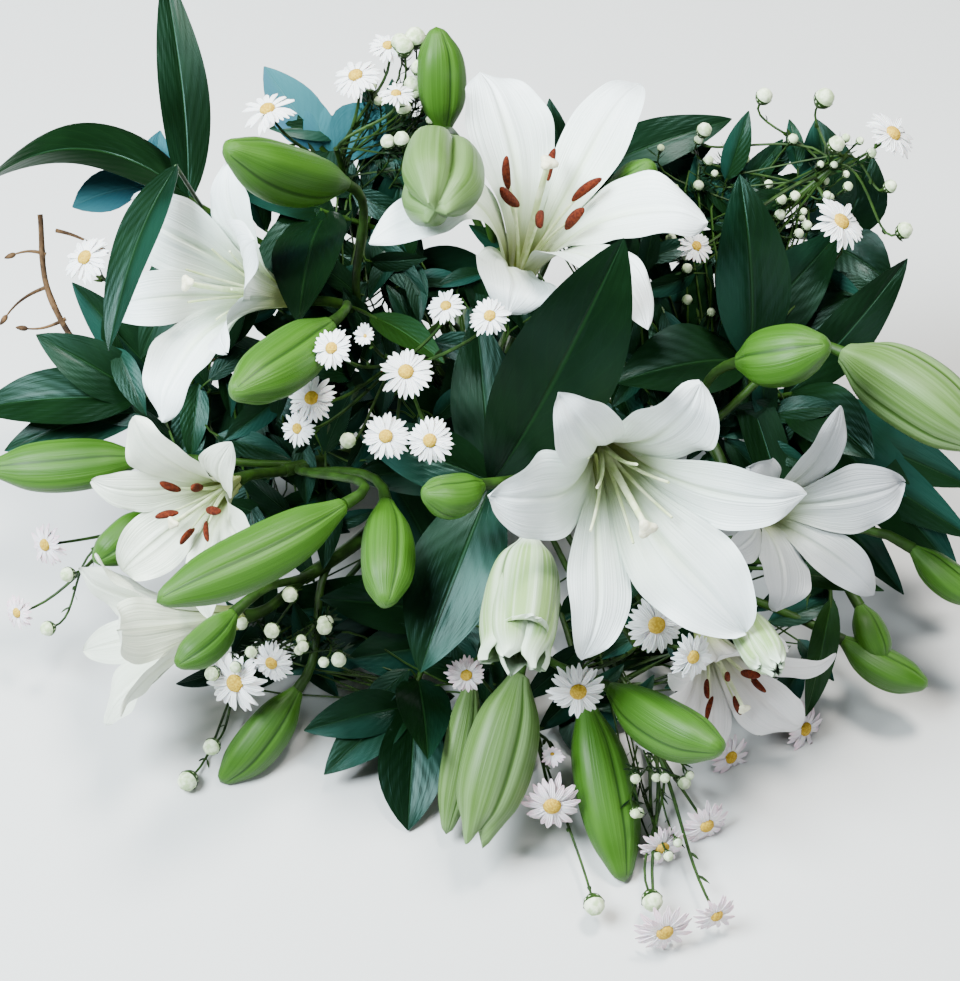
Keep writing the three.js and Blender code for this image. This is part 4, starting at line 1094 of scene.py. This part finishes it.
# A stem grows from its seat in the bundle through its bends. Its leaves are broad ones or, on a lily, narrow.
Stem = namedtuple(
    "Stem", "seat through buds leaves small heads filler finish", defaults=((), (), (), (), (), "rays"),
)
Bud = namedtuple("Bud", "base tip width bend finish parted", defaults=(4, "bud", 0.0))
Leaf = namedtuple("Leaf", "tip width faces arch broad base low", defaults=((0, 0, 1), 6, 0.42, None, False))
# Small things strewn round a middle: how far to each side and how many, the size of their heads and
# a share of the needles.
Group = namedtuple("Group", "middle spread count size needles", defaults=(3.0, 1.0))
Bloom = namedtuple(
    "Bloom", "throat way roll size tip_lean anthers pistil finish lobes",
    defaults=(1, 88, False, True, "tepal", {}),
)
# What sets one tepal apart from the others: degrees aside, degrees its tip leans out, a share of the length.
Lobe = namedtuple("Lobe", "turn lean stretch", defaults=(0, None, 1))


def low_leaf(*shape, **more):
    """A leaf that grows at the stem's first bend, low among the others."""
    return Leaf(*shape, **more, low=True)


LILIES = {
    "middle": Stem(0, [(28, 18, -78), (44, 10, -38)], buds=[Bud((2, 3, 18), (-29, -2, 38), 22)]),
    "top": Stem(
        1, [(6, 95, -120), (8, 120, -98)],
        buds=[Bud((-18, 178, -82), (-22, 232, -62), 26, -2), Bud((62, 140, -84), (86, 164, -46), 24)],
    ),
    "left": Stem(
        2, [(-47, 79, -106), (-66, 92, -85)],
        buds=[Bud((-66, 153, -30), (-128, 172, 40), 30), Bud((-74, 84, -6), (-124, 48, 58), 30)],
        leaves=[Leaf((-18, 64, -38), 20, (0.2, 0.5, 0.85), 3, base=(-54, 87, -62))],
    ),
    "lower_left": Stem(
        3, [(-62, 20, -118), (-98, 10, -85)],
        buds=[
            Bud((-168, 16, -72), (-246, 11, -66), 28, 2), Bud((-66, -6, 12), (-162, -56, 58), 29),
            Bud((-47, -4, -18), (-47, -58, 26), 27), Bud((-166, -10, -64), (-193, -36, -50), 21),
        ],
    ),
    "far_left": Stem(
        4, [(-55, -20, -120), (-88, -44, -92)],
        buds=[Bud((-90, -98, -86), (-130, -146, -82), 25), Bud((-122, -60, -14), (-152, -88, 4), 20)],
    ),
    "bottom": Stem(
        5, [(8, -45, -110), (24, -78, -76)],
        buds=[
            Bud((-4, -92, -60), (-17, -172, -52), 19, finish="ripe"),
            Bud((20, -90, -40), (-4, -176, -24), 37, finish="ripe", parted=0.05),
            Bud((52, -104, -62), (72, -196, -42), 31), Bud((64, -98, -38), (122, -130, 14), 29),
        ],
    ),
    "lower_right": Stem(
        6, [(68, -14, -118), (92, -36, -96)],
        buds=[
            Bud((189, -56, -92), (202, -86, -84), 18), Bud((180, -74, -92), (224, -98, -84), 22),
            Bud((215, -28, -88), (253, -56, -80), 20),
        ],
        leaves=[Leaf((163, -113, -80), 17, (0.3, 0.2, 1), 4, base=(176, -55, -88))],
    ),
    "right": Stem(
        7, [(82, 28, -115), (112, 28, -76)],
        buds=[
            Bud((128, 64, -22), (175, 73, 10), 31, 2),
            Bud((180, 70, -60), (254, 22, -26), 41, -4, finish="ripe"),
        ],
        leaves=[Leaf((202, -50, -52), 15, (0, 0.5, 1), 3, base=(150, -40, -62))],
    ),
}

BLOOMS = {
    "top": Bloom(
        (27, 132, -40), (0.2, 0.65, 0.73), 112, anthers=True,
        lobes={
            0: Lobe(3), 1: Lobe(38, 118, 1.12), 2: Lobe(26, 120, 0.56), 3: Lobe(6, 110, 1.18), 4: Lobe(-2),
            5: Lobe(6, stretch=1.12),
        },
    ),
    "left": Bloom(
        (-121, 102, -22), (-0.64, 0.1, 0.76), 246, 0.84,
        lobes={
            0: Lobe(8, stretch=1.06), 1: Lobe(4, 58), 2: Lobe(lean=60), 3: Lobe(14, 92, 0.84),
            4: Lobe(12, 100),
        },
    ),
    # This lily has a cream tint with painted shade.
    "lower_left": Bloom(
        (-137, -5, -22), (-0.45, -0.35, 0.82), 225, 0.66, anthers=True, finish="cream",
        lobes={
            3: Lobe(10), 4: Lobe(12), 5: Lobe(6),
        },
    ),
    "middle": Bloom(
        (70, 5, 32), (0.22, -0.5, 0.83), -60,
        lobes={
            0: Lobe(8, stretch=1.06), 2: Lobe(stretch=0.78), 3: Lobe(stretch=0.92),
            4: Lobe(-12, stretch=0.86), 5: Lobe(12),
        },
    ),
    # The right-hand lily has a darker copy of the white tepal: painted shade.
    "right": Bloom(
        (152, -12, -22), (0.5, -0.15, 0.85), 15, 0.71, pistil=False, finish="cool",
        lobes={
            2: Lobe(stretch=0.62), 3: Lobe(stretch=0.85), 4: Lobe(stretch=0.8),
        },
    ),
    "lower_right": Bloom((120, -88, -58), (0.3, -0.72, 0.62), -45, 0.68, anthers=True, finish="blush"),
    # This lily has a cream tint with painted shade.
    "far_left": Bloom(
        (-147, -68, -53), (-0.92, -0.14, 0.35), 30, 0.76, tip_lean=48, pistil=False, finish="cream",
    ),
}

OPENING = {
    "top": Bud((-18, 176, -8), (-23, 139, 54), 36),
    "middle": Bud((25, -25, 4), (18, -86, 38), 36, parted=1),
    "lower_right": Bud((130, -62, -6), (148, -90, 26), 20, parted=0.5),
}

LEAFY = {
    "upper_left": Stem(
        11, [(-100, 118, -112), (-146, 146, -84)],
        leaves=[
            Leaf((-158, 262, -96), 28, (0.4, 0.1, 0.9)), Leaf((-250, 152, -96), 46, (0, 0.75, 0.6), 28),
            Leaf((-186, 70, 14), 28, (-0.5, 0.3, 0.8), base=(-152, 162, -12)),
            Leaf((-170, 66, -92), 30, (-0.2, 0, 1), 4),
        ],
    ),
    "upper_middle": Stem(
        9, [(-42, 124, -119), (-80, 140, -88)],
        leaves=[
            Leaf((-114, 94, -64), 30, (0, 0.6, 0.8), 5), Leaf((-91, 84, -8), 39, (-0.2, 0.5, 0.8)),
            Leaf((-124, 150, -84), 30, (0, 0.5, 0.8), 5), low_leaf((-34, 172, -98), 30),
            low_leaf((-104, 84, -134), 30, arch=3), low_leaf((-44, 206, -118), 32, arch=3),
            low_leaf((16, 98, -134), 34, arch=3), low_leaf((-38, 84, -119), 32, arch=1),
        ],
        small=[
            Group((-74, 116, -104), (42, 32, 12), 26), Group((-62, 168, -104), (14, 20, 6), 8),
            Group((-62, 106, -100), (10, 10, 6), 6),
        ],
    ),
    "left": Stem(
        15, [(-118, 50, -130), (-172, 46, -106)],
        leaves=[
            Leaf((-252, 40, -112), 38, (0, 0.5, 0.85), 8), Leaf((-222, 78, -100), 30, (0, 0.2, 0.95), 4),
            low_leaf((-112, -34, -98), 30, arch=4), Leaf((-238, 20, -118), 32, (0, 0.3, 1), 3),
            low_leaf((-64, -8, -118), 42, arch=3), Leaf((-204, 104, -104), 26, arch=3),
            low_leaf((-172, 14, -124), 32, arch=3),
        ],
        small=[
            Group((-156, 42, -112), (26, 38, 10), 18), Group((-116, 62, -106), (26, 16, 8), 12),
            Group((-138, 64, -104), (8, 12, 6), 6), Group((-92, -6, -108), (24, 14, 8), 12),
        ],
    ),
    "middle": Stem(
        19, [(2, 12, -100), (6, 4, -24)],
        leaves=[
            Leaf((72, 126, 52), 58, (0.1, -0.35, 0.93), 7, broad=0.5),
            Leaf((-30, -91, -4), 48, (-0.15, 0.2, 0.95), 7, broad=0.5),
            Leaf((-62, 30, -36), 32, (0, 0.1, 1), 3), Leaf((-2, 88, -62), 36, arch=3),
            low_leaf((-64, 6, -66), 34, (-0.1, 0.3, 0.95), 5), low_leaf((-62, 64, -84), 32, arch=4),
            low_leaf((-14, 66, -76), 36, arch=3),
        ],
        small=[
            Group((-52, 44, -92), (40, 34, 14), 26), Group((24, 98, -104), (36, 22, 10), 16),
            Group((-50, 118, -108), (22, 20, 6), 12), Group((-66, 56, -100), (14, 10, 6), 8),
        ],
    ),
    "upper_right": Stem(
        2, [(90, 60, -120), (135, 66, -84)],
        leaves=[
            Leaf((130, 158, -72), 42, (0.2, 0, 0.95), 8), Leaf((68, 54, -62), 48, (-0.2, 0.5, 0.85), 5),
            Leaf((160, -34, -74), 24, (0.3, 0, 0.95), 2), low_leaf((112, 124, -108), 36, (0.1, 0, 1)),
            Leaf((180, 130, -104), 40, (0.1, 0, 1), 4), Leaf((186, 98, -112), 34, arch=4),
            low_leaf((74, 112, -114), 30, arch=2),
        ],
        small=[
            Group((80, 48, -96), (44, 14, 10), 16), Group((142, 128, -112), (34, 34, 8), 34),
            Group((130, 26, -94), (20, 18, 8), 16), Group((40, 158, -92), (8, 5, 4), 5),
            Group((86, 106, -102), (22, 22, 8), 14),
        ],
    ),
    "right": Stem(
        0, [(112, 44, -130), (156, 48, -98)],
        leaves=[
            Leaf((197, 16, -62), 38, (0, 0.3, 0.95), 5), Leaf((214, 116, -104), 30, (0.2, -0.2, 0.9)),
            Leaf((240, -44, -120), 44, (0.3, 0.2, 0.9), 8), low_leaf((178, 96, -136), 34, (0.2, 0, 1)),
            Leaf((246, 2, -116), 38, (0.2, 0, 1), 5), low_leaf((150, 114, -134), 38, arch=3),
            Leaf((246, -24, -110), 38, (0.2, 0, 1), 4), Leaf((212, -52, -116), 32, (0.2, 0, 1), 4),
        ],
    ),
    "bottom": Stem(
        20, [(-20, -62, -120), (-36, -108, -86)],
        leaves=[
            Leaf((-88, -120, -78), 26, (0, 0.3, 0.95), 3), Leaf((-78, -142, -72), 28, (0, 0.4, 0.9), 3),
            Leaf((-36, -170, -62), 36, (0, 0.1, 1), 5, broad=0.55),
            low_leaf((-80, -54, -84), 32, (-0.1, 0.2, 1), 5),
            Leaf((-26, -134, -30), 30, (0.2, 0.7, 0.7), 4), low_leaf((22, -124, -94), 34, arch=4),
            low_leaf((-98, -92, -92), 30, arch=4), low_leaf((-130, -64, -100), 30, arch=3),
            low_leaf((-44, 6, -108), 34, arch=2), Leaf((-66, -84, -94), 30, arch=3),
        ],
        small=[Group((-104, -78, -98), (30, 18, 6), 12), Group((-20, -96, -90), (30, 26, 8), 12)],
    ),
    "top": Stem(
        4, [(44, 138, -132), (54, 160, -112)],
        leaves=[
            Leaf((62, 194, -110), 26, (-0.2, 0, 1), 4), Leaf((126, 186, -122), 28, (0.1, 0.2, 1)),
            low_leaf((150, 154, -124), 40, arch=4), Leaf((116, 172, -130), 34, arch=3),
            low_leaf((118, 122, -136), 38, arch=3),
        ],
    ),
    "lower_right": Stem(
        22, [(42, -66, -130), (52, -104, -108)],
        leaves=[
            Leaf((58, -140, -92), 32, arch=3), low_leaf((102, -84, -140), 34, arch=3),
            low_leaf((96, -44, -142), 34, arch=3),
        ],
        small=[Group((128, -58, -100), (46, 38, 8), 26), Group((76, -84, -96), (30, 30, 8), 10)],
    ),
    "far_right": Stem(
        1, [(128, 84, -146), (182, 128, -130)],
        leaves=[
            Leaf((196, 168, -124), 34, (0.1, 0, 1), 4), Leaf((168, 186, -124), 38, arch=4),
            Leaf((206, 104, -118), 34, (0.1, 0, 1), 4), low_leaf((146, 150, -146), 40, arch=3),
        ],
    ),
}

EUCALYPTUS = {
    "upper_left": Stem(
        12, [(-118, 122, -128), (-160, 138, -112), (-166, 152, -108)],
        leaves=[
            Leaf((-204, 142, -104), 28, (0, 0.5, 0.9), 4, broad=0.55), Leaf((-160, 180, -104), 22, arch=3),
        ],
    ),
    "top_left": Stem(
        8, [(-48, 140, -126), (-80, 172, -104)],
        leaves=[
            Leaf((-108, 212, -92), 28, (-0.1, 0.1, 1), 3), Leaf((-84, 198, -96), 18, arch=3),
            Leaf((-48, 192, -88), 32, (0.2, 0, 1), 3, broad=0.58),
        ],
    ),
}

ASTERS = {
    "upper_left": Stem(
        10, [(-59, 132, -129), (-72, 171, -75)],
        heads=[
            ((-106, 190, -38), 14.5), ((-62, 207, -62), 14), ((-46, 222, -80), 11), ((-42, 198, -60), 10),
        ],
        filler=[
            Group((-40, 196, -74), (20, 24, 8), 14, size=4.0, needles=2.0),
            Group((-36, 214, -76), (7, 14, 5), 6, size=6.0),
        ],
    ),
    "left": Stem(13, [(-140, 84, -130), (-186, 104, -104)], heads=[((-197, 116, -76), 15)]),
    "upper_right": Stem(
        3, [(90, 96, -130), (150, 140, -106), (184, 168, -96)],
        buds=[
            ((142, 197, -96), 5), ((172, 196, -96), 6), ((112, 180, -96), 4.5), ((212, 130, -90), 5),
            ((178, 173, -84), 5), ((205, 152, -90), 4),
        ],
        heads=[((206, 178, -84), 15.5), ((180, 134, -84), 16.5), ((108, 122, -66), 10)],
        filler=[
            Group((120, 150, -98), (44, 30, 10), 26), Group((178, 158, -96), (22, 24, 8), 12),
            Group((112, 104, -92), (16, 20, 8), 8),
        ],
    ),
    "middle": Stem(
        7, [(-14, 84, -116), (-46, 58, -44)],
        buds=[((-66, 25, -14), 4.5)],
        heads=[
            ((-84, 46, -8), 13), ((-91, 31, -18), 10), ((-47, 27, 6), 12.5), ((-25, 25, 10), 12.5),
            ((-74, 71, 34), 11), ((-57, 77, -2), 7), ((-37, 59, 8), 14), ((-17, 92, 6), 10),
            ((5, 87, 4), 11),
        ],
    ),
    "middle_right": Stem(
        24, [(60, -50, -110), (78, -78, -50)],
        heads=[((88, -67, -8), 16), ((106, -83, 4), 12.5), ((49, -100, -14), 15.5)],
    ),
    "bottom": Stem(
        21, [(20, -90, -112), (30, -128, -74)],
        buds=[((57, -207, -20), 6)],
        heads=[((36, -157, -34), 16.5), ((36, -131, -40), 7.5), ((-7, -92, -24), 11)],
        finish="pink",
    ),
    "bottom_right": Stem(
        23, [(66, -84, -112), (94, -142, -70)],
        buds=[((86, -205, -20), 6), ((102, -146, -60), 4)],
        heads=[((91, -178, -44), 13), ((113, -167, -56), 14), ((92, -220, -8), 16), ((118, -212, -14), 12)],
        filler=[Group((92, -162, -34), (16, 22, 8), 10, needles=0.5)],
        finish="pink",
    ),
    "lower_right": Stem(
        25, [(92, -70, -124), (128, -108, -106)],
        heads=[((125, -133, -88), 13), ((162, -119, -98), 14), ((145, -112, -94), 10)],
        finish="pink",
    ),
    "lower_left": Stem(
        18, [(-70, -48, -126), (-118, -88, -102)],
        buds=[
            ((-95, -52, -44), 4.5), ((-104, -70, -46), 4.5), ((-146, -145, -78), 6), ((-134, -128, -74), 5),
        ],
        heads=[((-122, -96, -62), 17), ((-104, -86, -54), 12)],
        filler=[Group((-104, -76, -58), (34, 20, 10), 16, size=4.0)],
    ),
    "far_left": Stem(
        16, [(-130, 0, -130), (-194, -30, -104)],
        buds=[((-206, -42, -92), 4.5), ((-216, -69, -94), 4.5)],
        heads=[((-217, -27, -92), 12), ((-231, -61, -96), 10)],
        finish="pink",
    ),
}

TWIG = Stem(
    14,
    [(-130, 66, -138), (-182, 58, -122), (-196, 66, -120), (-216, 100, -118), (-220, 138, -116)],
)
BRANCHLETS = [
    [(-216, 102, -118), (-230, 97, -117), (-237, 87, -116)],
    [(-212, 130, -116), (-202, 128, -114), (-190, 121, -112)],
    [(-217, 118, -117), (-225, 121, -116), (-233, 118, -115)],
    [(-207, 86, -119), (-218, 80, -118), (-227, 81, -116)],
    [(-193, 68, -119), (-190, 76, -116), (-182, 82, -114)],
]


# Stems with what grows on them

def add_stem(piece, line, radius, sides):
    """A stem with its freshly cut end, a little thinner towards its top."""
    piece.new_shape("stem")
    thick = lambda share: radius * (1.02 - 0.14 * share) * (1 + 0.02 * sin(31 * share))
    caps = piece.tube(line.path(), thick, sides)
    piece.new_shape("cut")
    start = line.points[0]
    for cap in caps:
        if (cap.calc_center_median() - start).length < radius:
            cap.material_index = piece.finish


def add_lily_stem(name, spec):
    """A lily's stem with its buds and narrow leaves, and the stalks that lead to its opening bud and its
    bloom.
    """
    piece = Piece(f"lily_{name}", f"lily_stem_{name}", "green_stem")
    line = StemLine(lily_seat(spec.seat), spec.through, 3)
    opening = OPENING.get(name)
    bloom = BLOOMS.get(name)
    fork = Fork(line, len(spec.buds) + len(spec.leaves) + bool(opening) + bool(bloom))
    add_stem(piece, line, LILY_STEM if spec.seat else MIDDLE_STEM, THICK_SIDES)
    for bud in spec.buds:
        base, way = start_of(bud)
        add_bud(piece, *bud)
        swollen = lambda share: PEDICEL * (1 + 0.5 * share ** 6)
        piece.new_shape("stem").tube(fork.stalk(base + way * 2, way), swollen, 10)
    for leaf in spec.leaves:
        base, way = start_of(leaf)
        piece.new_shape("narrow")
        add_blade(piece, base, leaf)
        piece.new_shape("stem").tube(fork.stalk(base + way * 4, way), STALK, STALK_SIDES)
    if opening:
        base, way = start_of(opening)
        piece.new_shape("stem").tube(fork.stalk(base - way * CLEAR, way), PEDICEL, 10)
    if bloom:
        axis = BloomAxis(bloom)
        flare = lambda share: (PEDICEL + 0.6) * (1 + 0.7 * share ** 8)
        piece.new_shape("stem").tube(fork.stalk(axis.base - axis.way * 1.1, axis.way, 14), flare, 12)
    return piece.finish_up()


def add_leafy_stem(prefix, slot, finish, name, spec):
    """A stem of broad leaves: most grow at its top, the low ones at its first bend."""
    piece = Piece(f"{finish}_sprig_{name}", f"{prefix}_{name}", slot)
    line = StemLine(thin_seat(spec.seat), spec.through, 2)
    add_stem(piece, line, THIN_STEM, THIN_SIDES)
    low = 0
    for i, leaf in enumerate(spec.leaves):
        joint = line.joint(FIRST_BEND, low) if leaf.low else line.joint(line.steps, i)
        low += leaf.low
        base = seen(leaf.base) if leaf.base else joint
        piece.new_shape(finish)
        add_blade(piece, base, leaf)
        if leaf.base:
            piece.new_shape("stem").tube([lerp(joint, base, k / 8) for k in range(9)], STALK, STALK_SIDES)
    for group in spec.small:
        add_small_leaves(piece, line, group)
    return piece.finish_up()


def add_aster_spray(name, spec):
    """A spray: open heads first, then round unopened ones, then the fine twiglets."""
    piece = Piece(f"asters_{name}", f"aster_spray_{name}", "aster")
    line = StemLine(thin_seat(spec.seat), spec.through, 2)
    fork = Fork(line, len(spec.heads) + len(spec.buds))
    add_stem(piece, line, THIN_STEM, THIN_SIDES)
    for spot, radius in spec.heads:
        centre, way = seen(spot), outward(spot)
        path = fork.stalk(centre - way * 3, way)
        with piece.apart():
            add_head(piece, centre, way, radius, spec.finish)
            piece.new_shape("sprig").tube(path, lambda share: STALK * lerp(1, 0.7, share), 6)
            add_slim_leaves(piece, path, 3, 9)
    for spot, radius in spec.buds:
        centre, way = seen(spot), outward(spot)
        path = fork.stalk(centre - way * radius * 0.8, way)
        with piece.apart():
            add_unopened(piece, centre, way, radius)
            piece.new_shape("sprig").tube(path, STALK * 0.65, 6)
            add_slim_leaves(piece, path, 3, 7)
    for group in spec.filler:
        add_filler(piece, line, group)
    return piece.finish_up()


def add_twig():
    """A knotty twig with branchlets that end in winter buds."""
    piece = Piece("brown_twig", "twig", "bark", "bark").new_shape("bark")
    line = StemLine(thin_seat(TWIG.seat), TWIG.through, 2)
    knots = lambda share: THIN_STEM * (1.2 - 0.35 * share) * (1 + 0.14 * abs(sin(26 * share)) ** 8)
    piece.tube(line.path(14), knots, THIN_SIDES)
    for route in BRANCHLETS:
        spots = [seen(place) for place in route]
        ways = [(spots[1] - spots[0]).normalized(), (spots[2] - spots[1]).normalized()]
        piece.tube(reach(spots[0], ways[0], spots[2], ways[1], 12), lambda s: lerp(1.2, 0.5, s), 7)
        add_twig_bud(piece, spots[2], ways[1])
    return piece.finish_up()


def add_twig_bud(piece, base, way):
    """A small pointed winter bud at the end of a branchlet."""
    side, other = square_to(way)

    def place(co):
        out = 1.5 * hypot(co.x, co.y) * (1 - 0.35 * co.z)
        spot = base + way * 3.4 * (co.z + 0.7) + around(side, other, atan2(co.y, co.x)) * out
        return spot, 0.5, 0.5

    piece.ball(10, 8, place)


def add_tie():
    """Twisted cord wound round the bundle, turn by turn."""
    piece = Piece("cord_tie", "tie", "cord", "cord").new_shape("cord")
    turns = round(TIE_WIDTH / CORD)
    steps = CORD_STEPS * turns
    path = []
    for i in range(steps + 1):
        turn = tau * turns * i / steps
        above = -TIE_WIDTH / 2 + CORD / 2 + (TIE_WIDTH - CORD) * i / steps
        out = TIE_INSIDE + CORD / 2
        path.append(
            TIE_CENTRE + BUNDLE_WAY * above
            + BUNDLE_RIGHT * out * cos(turn) + BUNDLE_UP * out * sin(turn)
        )
    plies = lambda turn, share: 1 + 0.16 * cos(3 * turn + share * turns * 84)
    piece.tube(path, CORD / 2 * 0.9, CORD_SIDES, plies)
    return piece.finish_up()


# What a user can change

def colour(name, default, description):
    return bpy.props.FloatVectorProperty(
        name=name, description=description, subtype="COLOR", default=default, min=0, max=1,
    )


class BouquetSettings(bpy.types.PropertyGroup):
    """Looks of the bouquet and of its stage."""

    petal_colour: colour("Petals", (0.8, 0.87, 0.88), "Colour of the open lilies")
    throat_colour: colour("Throats", (0.2, 0.25, 0.035), "Colour deep inside the open lilies")
    bud_colour: colour("Buds", (0.024, 0.084, 0.003), "Colour of the closed lily buds and their stems")
    leaf_colour: colour("Leaves", (0.0012, 0.0066, 0.0014), "Colour of the glossy leaves")
    eucalyptus_colour: colour("Eucalyptus", (0.02, 0.095, 0.115), "Colour of the eucalyptus leaves")
    ray_colour: colour("Rays", (0.88, 0.88, 0.88), "Colour of the asters' rays")
    disc_colour: colour("Discs", (0.6, 0.4, 0.04), "Colour of the asters' discs")
    anther_colour: colour("Anthers", (0.11, 0.016, 0.003), "Colour of the lilies' anthers")
    cord_colour: colour("Cord", (0.62, 0.45, 0.24), "Colour of the tie")
    ruffle: bpy.props.FloatProperty(
        name="Ruffle", description="Height of the waves along the petals' margins", unit="LENGTH",
        default=0.0032, min=0, max=0.006,
    )
    needles: bpy.props.IntProperty(
        name="Needles", description="Needle leaves on each fine twiglet", default=16, min=0, max=60,
    )
    floor_colour: colour("Floor", (0.56, 0.56, 0.55), "Colour of the floor")
    floor_size: bpy.props.FloatProperty(
        name="Floor size", description="Length of the floor's sides", unit="LENGTH", default=8.0, min=1,
    )
    light: bpy.props.FloatProperty(
        name="Light", description="Power of the largest soft light", unit="POWER", default=155.0, min=0,
    )
    sky: bpy.props.FloatProperty(
        name="Sky", description="Strength of the light from all round", default=0.09, min=0,
    )


# Operators

class BOUQUET_OT_blooms(bpy.types.Operator):
    """Makes the open lilies, tepal by tepal"""

    bl_idname = "bouquet.blooms"
    bl_label = "Lily blooms"

    def execute(self, context):
        for name, spec in BLOOMS.items():
            add_bloom(name, spec)
        return {"FINISHED"}


class BOUQUET_OT_stamens(bpy.types.Operator):
    """Makes the pistils and stamens of the open lilies"""

    bl_idname = "bouquet.stamens"
    bl_label = "Stamens"

    def execute(self, context):
        for name, spec in BLOOMS.items():
            if spec.pistil:
                add_stamens(name, spec)
        return {"FINISHED"}


class BOUQUET_OT_opening_buds(bpy.types.Operator):
    """Makes the pale buds that are about to open"""

    bl_idname = "bouquet.opening_buds"
    bl_label = "Opening buds"

    def execute(self, context):
        for name, spec in OPENING.items():
            add_opening_bud(name, spec)
        return {"FINISHED"}


class BOUQUET_OT_lily_stems(bpy.types.Operator):
    """Makes the lily stems with their closed buds and narrow leaves"""

    bl_idname = "bouquet.lily_stems"
    bl_label = "Lily stems"

    def execute(self, context):
        for name, spec in LILIES.items():
            add_lily_stem(name, spec)
        return {"FINISHED"}


class BOUQUET_OT_foliage(bpy.types.Operator):
    """Makes the stems of glossy leaves and the eucalyptus sprigs"""

    bl_idname = "bouquet.foliage"
    bl_label = "Foliage"

    def execute(self, context):
        for name, spec in LEAFY.items():
            add_leafy_stem("leafy_stem", "glossy_leaf", "leaf", name, spec)
        for name, spec in EUCALYPTUS.items():
            add_leafy_stem("eucalyptus_sprig", "blue_leaf", "blue", name, spec)
        return {"FINISHED"}


class BOUQUET_OT_asters(bpy.types.Operator):
    """Makes the sprays of asters"""

    bl_idname = "bouquet.asters"
    bl_label = "Asters"

    def execute(self, context):
        for name, spec in ASTERS.items():
            add_aster_spray(name, spec)
        return {"FINISHED"}


class BOUQUET_OT_twig_and_tie(bpy.types.Operator):
    """Makes the twig, and the cord that holds the stems"""

    bl_idname = "bouquet.twig_and_tie"
    bl_label = "Twig and tie"

    def execute(self, context):
        add_twig()
        add_tie()
        return {"FINISHED"}


class BOUQUET_OT_stage(bpy.types.Operator):
    """Lays the floor and sets the lights and the camera"""

    bl_idname = "bouquet.stage"
    bl_label = "Stage"

    def execute(self, context):
        settings = context.scene.bouquet
        lay_floor(settings)
        set_lights(settings)
        set_camera()
        return {"FINISHED"}


def lay_floor(settings):
    bm = bmesh.new()
    bmesh.ops.create_grid(bm, x_segments=1, y_segments=1, size=settings.floor_size / 2)
    mesh = bpy.data.meshes.new("floor")
    bm.to_mesh(mesh)
    bm.free()
    floor = add_object("floor", mesh)
    finish = Finish("floor", roughness=0.8)
    finish.shader.inputs["Base Color"].default_value = (*settings.floor_colour, 1)
    mesh.materials.append(finish.material)


def set_lights(settings):
    world = bpy.data.worlds.new("sky")
    world.use_nodes = True
    background = world.node_tree.nodes["Background"]
    background.inputs["Color"].default_value = (0.86, 0.93, 1.0, 1)
    background.inputs["Strength"].default_value = settings.sky
    bpy.context.scene.world = world
    lamps = {
        "window": ((-1.0, -0.3, 1.6), 1.0, settings.light, (0.84, 0.95, 1.0)),
        "key": ((0.3, 0.35, 1.9), 0.45, settings.light * 0.45, (1.0, 0.98, 0.93)),
        "fill": ((0.9, -1.1, 1.0), 1.0, settings.light * 0.06, (0.9, 0.95, 1.0)),
    }
    middle = Vector((0, 0, 0.15))
    for name, (place, size, power, colour) in lamps.items():
        lamp = bpy.data.lights.new(name, "AREA")
        lamp.shape = "DISK"
        lamp.size = size
        lamp.energy = power
        lamp.color = colour
        stand = add_object(name, lamp)
        stand.location = place
        stand.rotation_euler = (middle - Vector(place)).to_track_quat("-Z", "Y").to_euler()


def set_camera():
    """Looks squarely at the face."""
    lens = bpy.data.cameras.new("camera")
    lens.sensor_width = SENSOR
    lens.lens = FOCAL_PIXELS / PICTURE_HEIGHT * SENSOR
    camera = add_object("camera", lens)
    camera.matrix_world = (
        Matrix.Translation(FACE @ Vector((0, 0, VIEW_DISTANCE)))
        @ Matrix.Rotation(radians(FACE_TILT), 4, "X")
    )
    bpy.context.scene.camera = camera


OPERATORS = (
    BOUQUET_OT_blooms,
    BOUQUET_OT_stamens,
    BOUQUET_OT_opening_buds,
    BOUQUET_OT_lily_stems,
    BOUQUET_OT_foliage,
    BOUQUET_OT_asters,
    BOUQUET_OT_twig_and_tie,
    BOUQUET_OT_stage,
)


class BOUQUET_PT_panel(bpy.types.Panel):
    """Lists the steps that make the bouquet"""

    bl_label = "Lily bouquet"
    bl_space_type = "VIEW_3D"
    bl_region_type = "UI"
    bl_category = "Bouquet"

    def draw(self, context):
        settings = context.scene.bouquet
        for name in BouquetSettings.__annotations__:
            self.layout.prop(settings, name)
        for operator in OPERATORS:
            self.layout.operator(operator.bl_idname)


CLASSES = (BouquetSettings, *OPERATORS, BOUQUET_PT_panel)


def register():
    for cls in CLASSES:
        bpy.utils.register_class(cls)
    bpy.types.Scene.bouquet = bpy.props.PointerProperty(type=BouquetSettings)


def unregister():
    del bpy.types.Scene.bouquet
    for cls in reversed(CLASSES):
        bpy.utils.unregister_class(cls)


def main():
    register()
    for operator in OPERATORS:
        group, name = operator.bl_idname.split(".")
        getattr(getattr(bpy.ops, group), name)()


if __name__ == "__main__":
    main()
